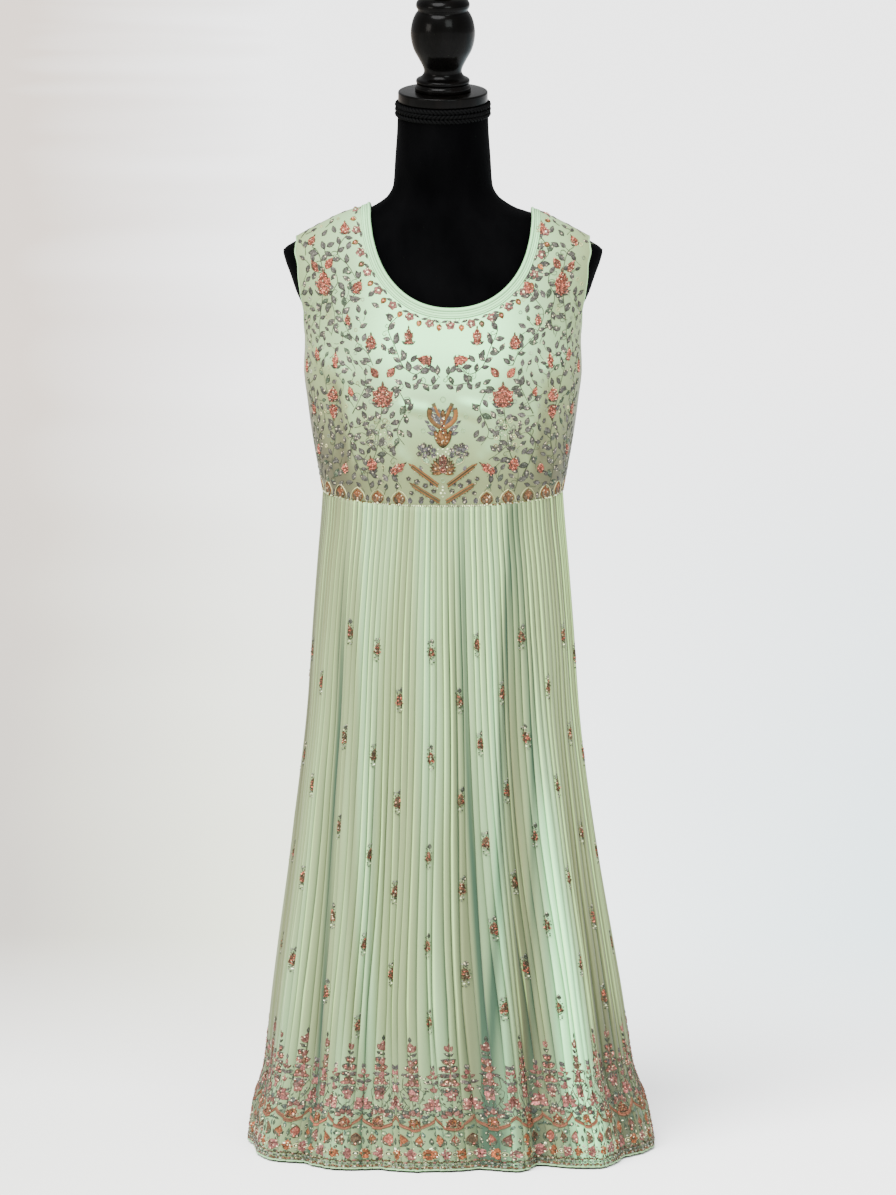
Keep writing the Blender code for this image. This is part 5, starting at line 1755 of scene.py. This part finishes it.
def hemRepeat(work, wide):
    # one repeat of the border, centred on a low point of the scallops; heights are over the hem
    half = wide / 2
    across, up = (0.22, 0.5, 0.82, 1.0), (52.8, 56.5, 63, 69)
    scallop = np.array([(-x, y) for x, y in zip(across, up)][::-1] + [(0, 51.8)] + list(zip(across, up)))
    scallop = throughPoints(scallop * (half, 1), 2)
    for shift, width, dye in ((1.7, 5.0, "copper"), (0.0, 1.8, "brick"), (3.4, 1.8, "brick")):
        work.thread(scallop + (0, shift), width, dye, 0.6 if dye == "copper" else 1.5)
    # the half medallion that sits in the low point
    bend = np.linspace(-math.pi / 2, math.pi / 2, 9)
    dome = np.stack([np.sin(bend) * 9.5, 57 + np.cos(bend) * 14], axis=1)
    work.patch(dome, "brick", 0.7)
    work.fill(dome, ("brick", "copper", "rust", "coral"), 1.4, 1.1, 2.5)
    work.rosette(0, 63.5, 5.4, "gold", "blush", 6)
    for side in (-1, 1):
        for lean, reach, dye in ((14, 12, "slate"), (40, 12, "darkLeaf"), (64, 11, "slate"),
                                 (88, 10, "greenLeaf")):
            x, y = clockwise(side * lean, reach)
            work.leaf(x, 64 + y, side * lean, 10, 7.0, dye)
        for lean in (2, 27, 52):
            x, y = clockwise(side * lean, 8)
            work.petal(x, 64 + y, side * lean, 9.5, 5.6, "rose", 1.0)
    work.thread([(0, 78), (0.8, 86), (0, 93)], 1.0, "vine", 0.6)
    for k in range(5):
        work.petal(0, 99, 72 * k, 9.5, 8.0, "rose" if k % 2 else "pink", 1.0)
    work.bead(0, 99, 2.0, "rust", 1.8)
    for side in (-1, 1):
        # sprays over the peaks, half of each in this repeat
        edge = side * half
        work.thread([(edge, 68), (edge - side * 1.5, 76), (edge, 84)], 1.0, "greenLeaf", 0.7)
        work.leaf(edge - side * 1, 71, -side * 60, 9, 4.4, "greenLeaf")
        work.leaf(edge - side * 1, 76, -side * 40, 7, 3.6, "leaf")
        for lean in (0, 36, 72, 104):
            dye = "pink" if lean % 72 else "rose"
            work.petal(edge, 84, -side * lean, 14 if lean else 16, 8.0, dye, 1.0)
        work.bead(edge - side * 3, 88, 1.1, "rust", 1.8)
        work.bead(edge - side * 6, 87, 1.1, "blush", 1.8)
        stem = [(edge, 92), (edge - side * 2, 100), (edge, 112), (edge - side * 2, 124)]
        work.thread(stem, 0.8, "vine", 0.6)
        work.petal(edge, 103, -side * 52, 9.0, 6.0, "rose", 0.9)
        work.petal(edge, 104, -side * 12, 9.5, 6.0, "pink", 0.9)
        work.leaf(edge, 112, -side * 48, 9, 4.6, "leaf")
        for x, y, lean, dye in ((1.5, 121, 58, "rose"), (1, 125, 20, "pink"), (2.5, 116, 84, "plum"),
                                (0.5, 132, 24, "leaf")):
            work.petal(edge - side * x, y, -side * lean, 9.0, 5.6, dye, 0.9)
        # what hangs under the peaks
        work.leaf(edge - side * 1, 60, -side * 150, 8, 4.0, "teal")
        work.leaf(edge - side * 4, 57, -side * 120, 7, 3.6, "greenLeaf")
        work.ring(side * 8, 47, 3.2, "teal")
        work.bead(side * 8, 47, 1.2, "pearl", 1.3)
    # the spire: small pairs that widen at its middle, a bud on a bare stem above
    work.thread([(0, 103), (0.8, 118), (0, 140), (0.4, 158)], 1.1, "vine", 0.6)
    rows = ((110, 130, 12, "plum"), (115, 100, 12.5, "rose"), (121, 122, 10, "rust"), (125, 84, 14, "plum"),
            (130, 58, 13, "rose"), (136, 88, 11, "darkLeaf"), (139, 40, 11.5, "rust"), (144, 68, 9, "plum"))
    for y, lean, length, dye in rows:
        for side in (-1, 1):
            work.petal(side * 0.5, y, side * lean, length, 7.0, dye, 0.9)
            right, up = clockwise(lean, length * 0.55)
            work.bead(side * (0.8 + right), y + up, 1.2, "blush" if dye != "plum" else "coral", 1.8)
    for y, length, dye in ((110, 11, "rose"), (118, 12, "pink"), (127, 12, "brick"), (136, 12, "rose")):
        work.petal(0, y, 0, length, 8.0, dye, 1.2)
    for side in (-1, 1):
        work.leaf(0, 150, side * 44, 9.5, 4.6, "darkLeaf")
        work.petal(0, 156, side * 28, 12, 6.4, "rose", 0.9)
        work.leaf(side * 1, 104, side * 62, 12, 5.4, "greenLeaf")
    work.petal(0, 156, 0, 15, 8.0, "rose", 1.1)
    work.leaf(0, 169, 0, 9.5, 4.0, "darkLeaf")
    # fine green filling
    for side in (-1, 1):
        for curl, dye in (([(1, 92), (8, 100), (13, 110), (12, 122)], "vine"),
                          ([(6, 82), (13, 92), (15, 104), (9, 112)], "greenLeaf"),
                          ([(14, 76), (10, 88), (14, 98)], "vine")):
            work.thread(np.array(curl) * (side, 1), 0.8, dye, 0.6)
    for _ in range(90):
        x, y = work.dice.uniform(-half, half), 70 + 56 * work.dice.random() ** 1.3
        length = work.dice.uniform(4.5, 7.5)
        dye = ("greenLeaf", "leaf", "greenLeaf", "vine")[int(work.dice.integers(4))]
        work.petal(x, y, work.dice.uniform(-60, 60), length, length * 0.36, dye, 0.3, 1.2)


def hemRows(work, length):
    count = skirtDesign["buds"]
    for k in range(count):
        dye = ("rose", "orange", "coral", "rust")[int(work.dice.integers(4))]
        work.at(((k + 0.5) / count, skirtDesign["budHeights"][0]), work.dice.uniform(-5, 5))
        for side in (-1, 1):
            work.leaf(0, -8.5, side * 36, 13, 6.0, "greenLeaf")
        work.edged(0, -7.5, 0, 17, 11.5, dye, "brick", 0.9, 0.95)
        work.leaf(0, -5, 0, 10, 3.4, "rust")
        work.bead(0, -5.0, 1.2, "blush", 1.6)
        work.at(((k + 1.0) / count, skirtDesign["budHeights"][1]), work.dice.uniform(-6, 6))
        work.leaf(0, -9, 0, 12, 3.8, "greenLeaf")
        work.leaf(-3.6, 2, -8, 10, 3.2, "teal")
        work.leaf(3.4, 3, 8, 9, 3.0, "greenLeaf")
        if work.dice.random() < 0.4:
            work.sequin(0, -13, 2.5, "pearl")
    count, height = skirtDesign["flowers"], skirtDesign["flowerHeight"]
    for k in range(count):
        work.at(((k + 0.35) / count, height))
        if k % 2:
            work.rosette(0, 0, 8.4, "pink", "rose")
        else:
            work.rosette(0, 0, 8.0, "orange", "bronze", 6)
        for turn in (25, 90, 155, 205, 270, 335):
            work.leaf(*clockwise(turn, 7, 6.5), turn, 5.5, 3.2, "greenLeaf")
        work.at(((k + 0.85) / count, height))
        work.ring(0, 0, 2.8, "cream")
        work.bead(0, 0, 1.5, "pearl", 1.3)
        for turn in (0, 60, 120, 180, 240, 300):
            work.bead(*clockwise(turn, 6.0, 5.5), 1.3, ("silver", "pearl", "bronze")[turn // 60 % 3], 1.0)
    total = int(length * 1000 / skirtDesign["beadPitch"])
    for k in range(total):
        spot = (k + 0.5) / total
        work.at((spot, 0.0026 + 0.0012 * (k % 2))).bead(0, 0, 1.9, "brick" if k % 3 else "silver", 1.2)
        work.at((spot, 0.0066 + 0.001 * (k % 2))).bead(0, 0, 1.5, ("slate", "silver")[k % 2], 1.0)
        work.at((spot, 0.0098 + 0.0014 * (k // 2 % 2))).bead(0, 0, 1.7, "bronze" if k % 3 else "rose", 1.1)


def sewSkirt(side):
    panel, word = skirtPanels[side], sideNames[side]
    work = Needlework(SkirtCanvas(side), 8 + side)
    columns = skirtDesign["sprigs"]
    if side == back:
        count = skirtDesign["backSprigs"]
        columns = [((k + 0.5) / count, skirtDesign["backRows"][k % 2]) for k in range(count)]
    for across, shares in columns:
        for share in shares:
            sprig(work.at((across, (1 - share) * panel.slant), work.dice.uniform(-6, 6)))
    made = [work.finish("skirt_sprigs_" + word)]
    work = Needlework(SkirtCanvas(side), 18 + side, 0.12)
    length, count = panel.lengths[-1], skirtDesign["repeats"]
    for k in range(count):
        hemRepeat(work.at(((k + 0.5) / count, 0.0)), length * 1000 / count)
    hemRows(work, length)
    return made + [work.finish("hem_border_" + word)]


skirtWork = {side: sewSkirt(side) for side in (front, back)}
print("skirt needlework made")


# floor

half = studio["floorSize"] / 2
floor = addPiece("studio_floor", [(-half, -half, 0), (half, -half, 0), (half, half, 0), (-half, half, 0)],
                 [[0, 1, 2, 3]], floorFinish(), smooth=False)
print("floor made")

for side, word in sideNames.items():
    [bodiceWork[side]] + (armholeRolls if side == front else [])
    [hemLines[side == back]] + skirtWork[side]
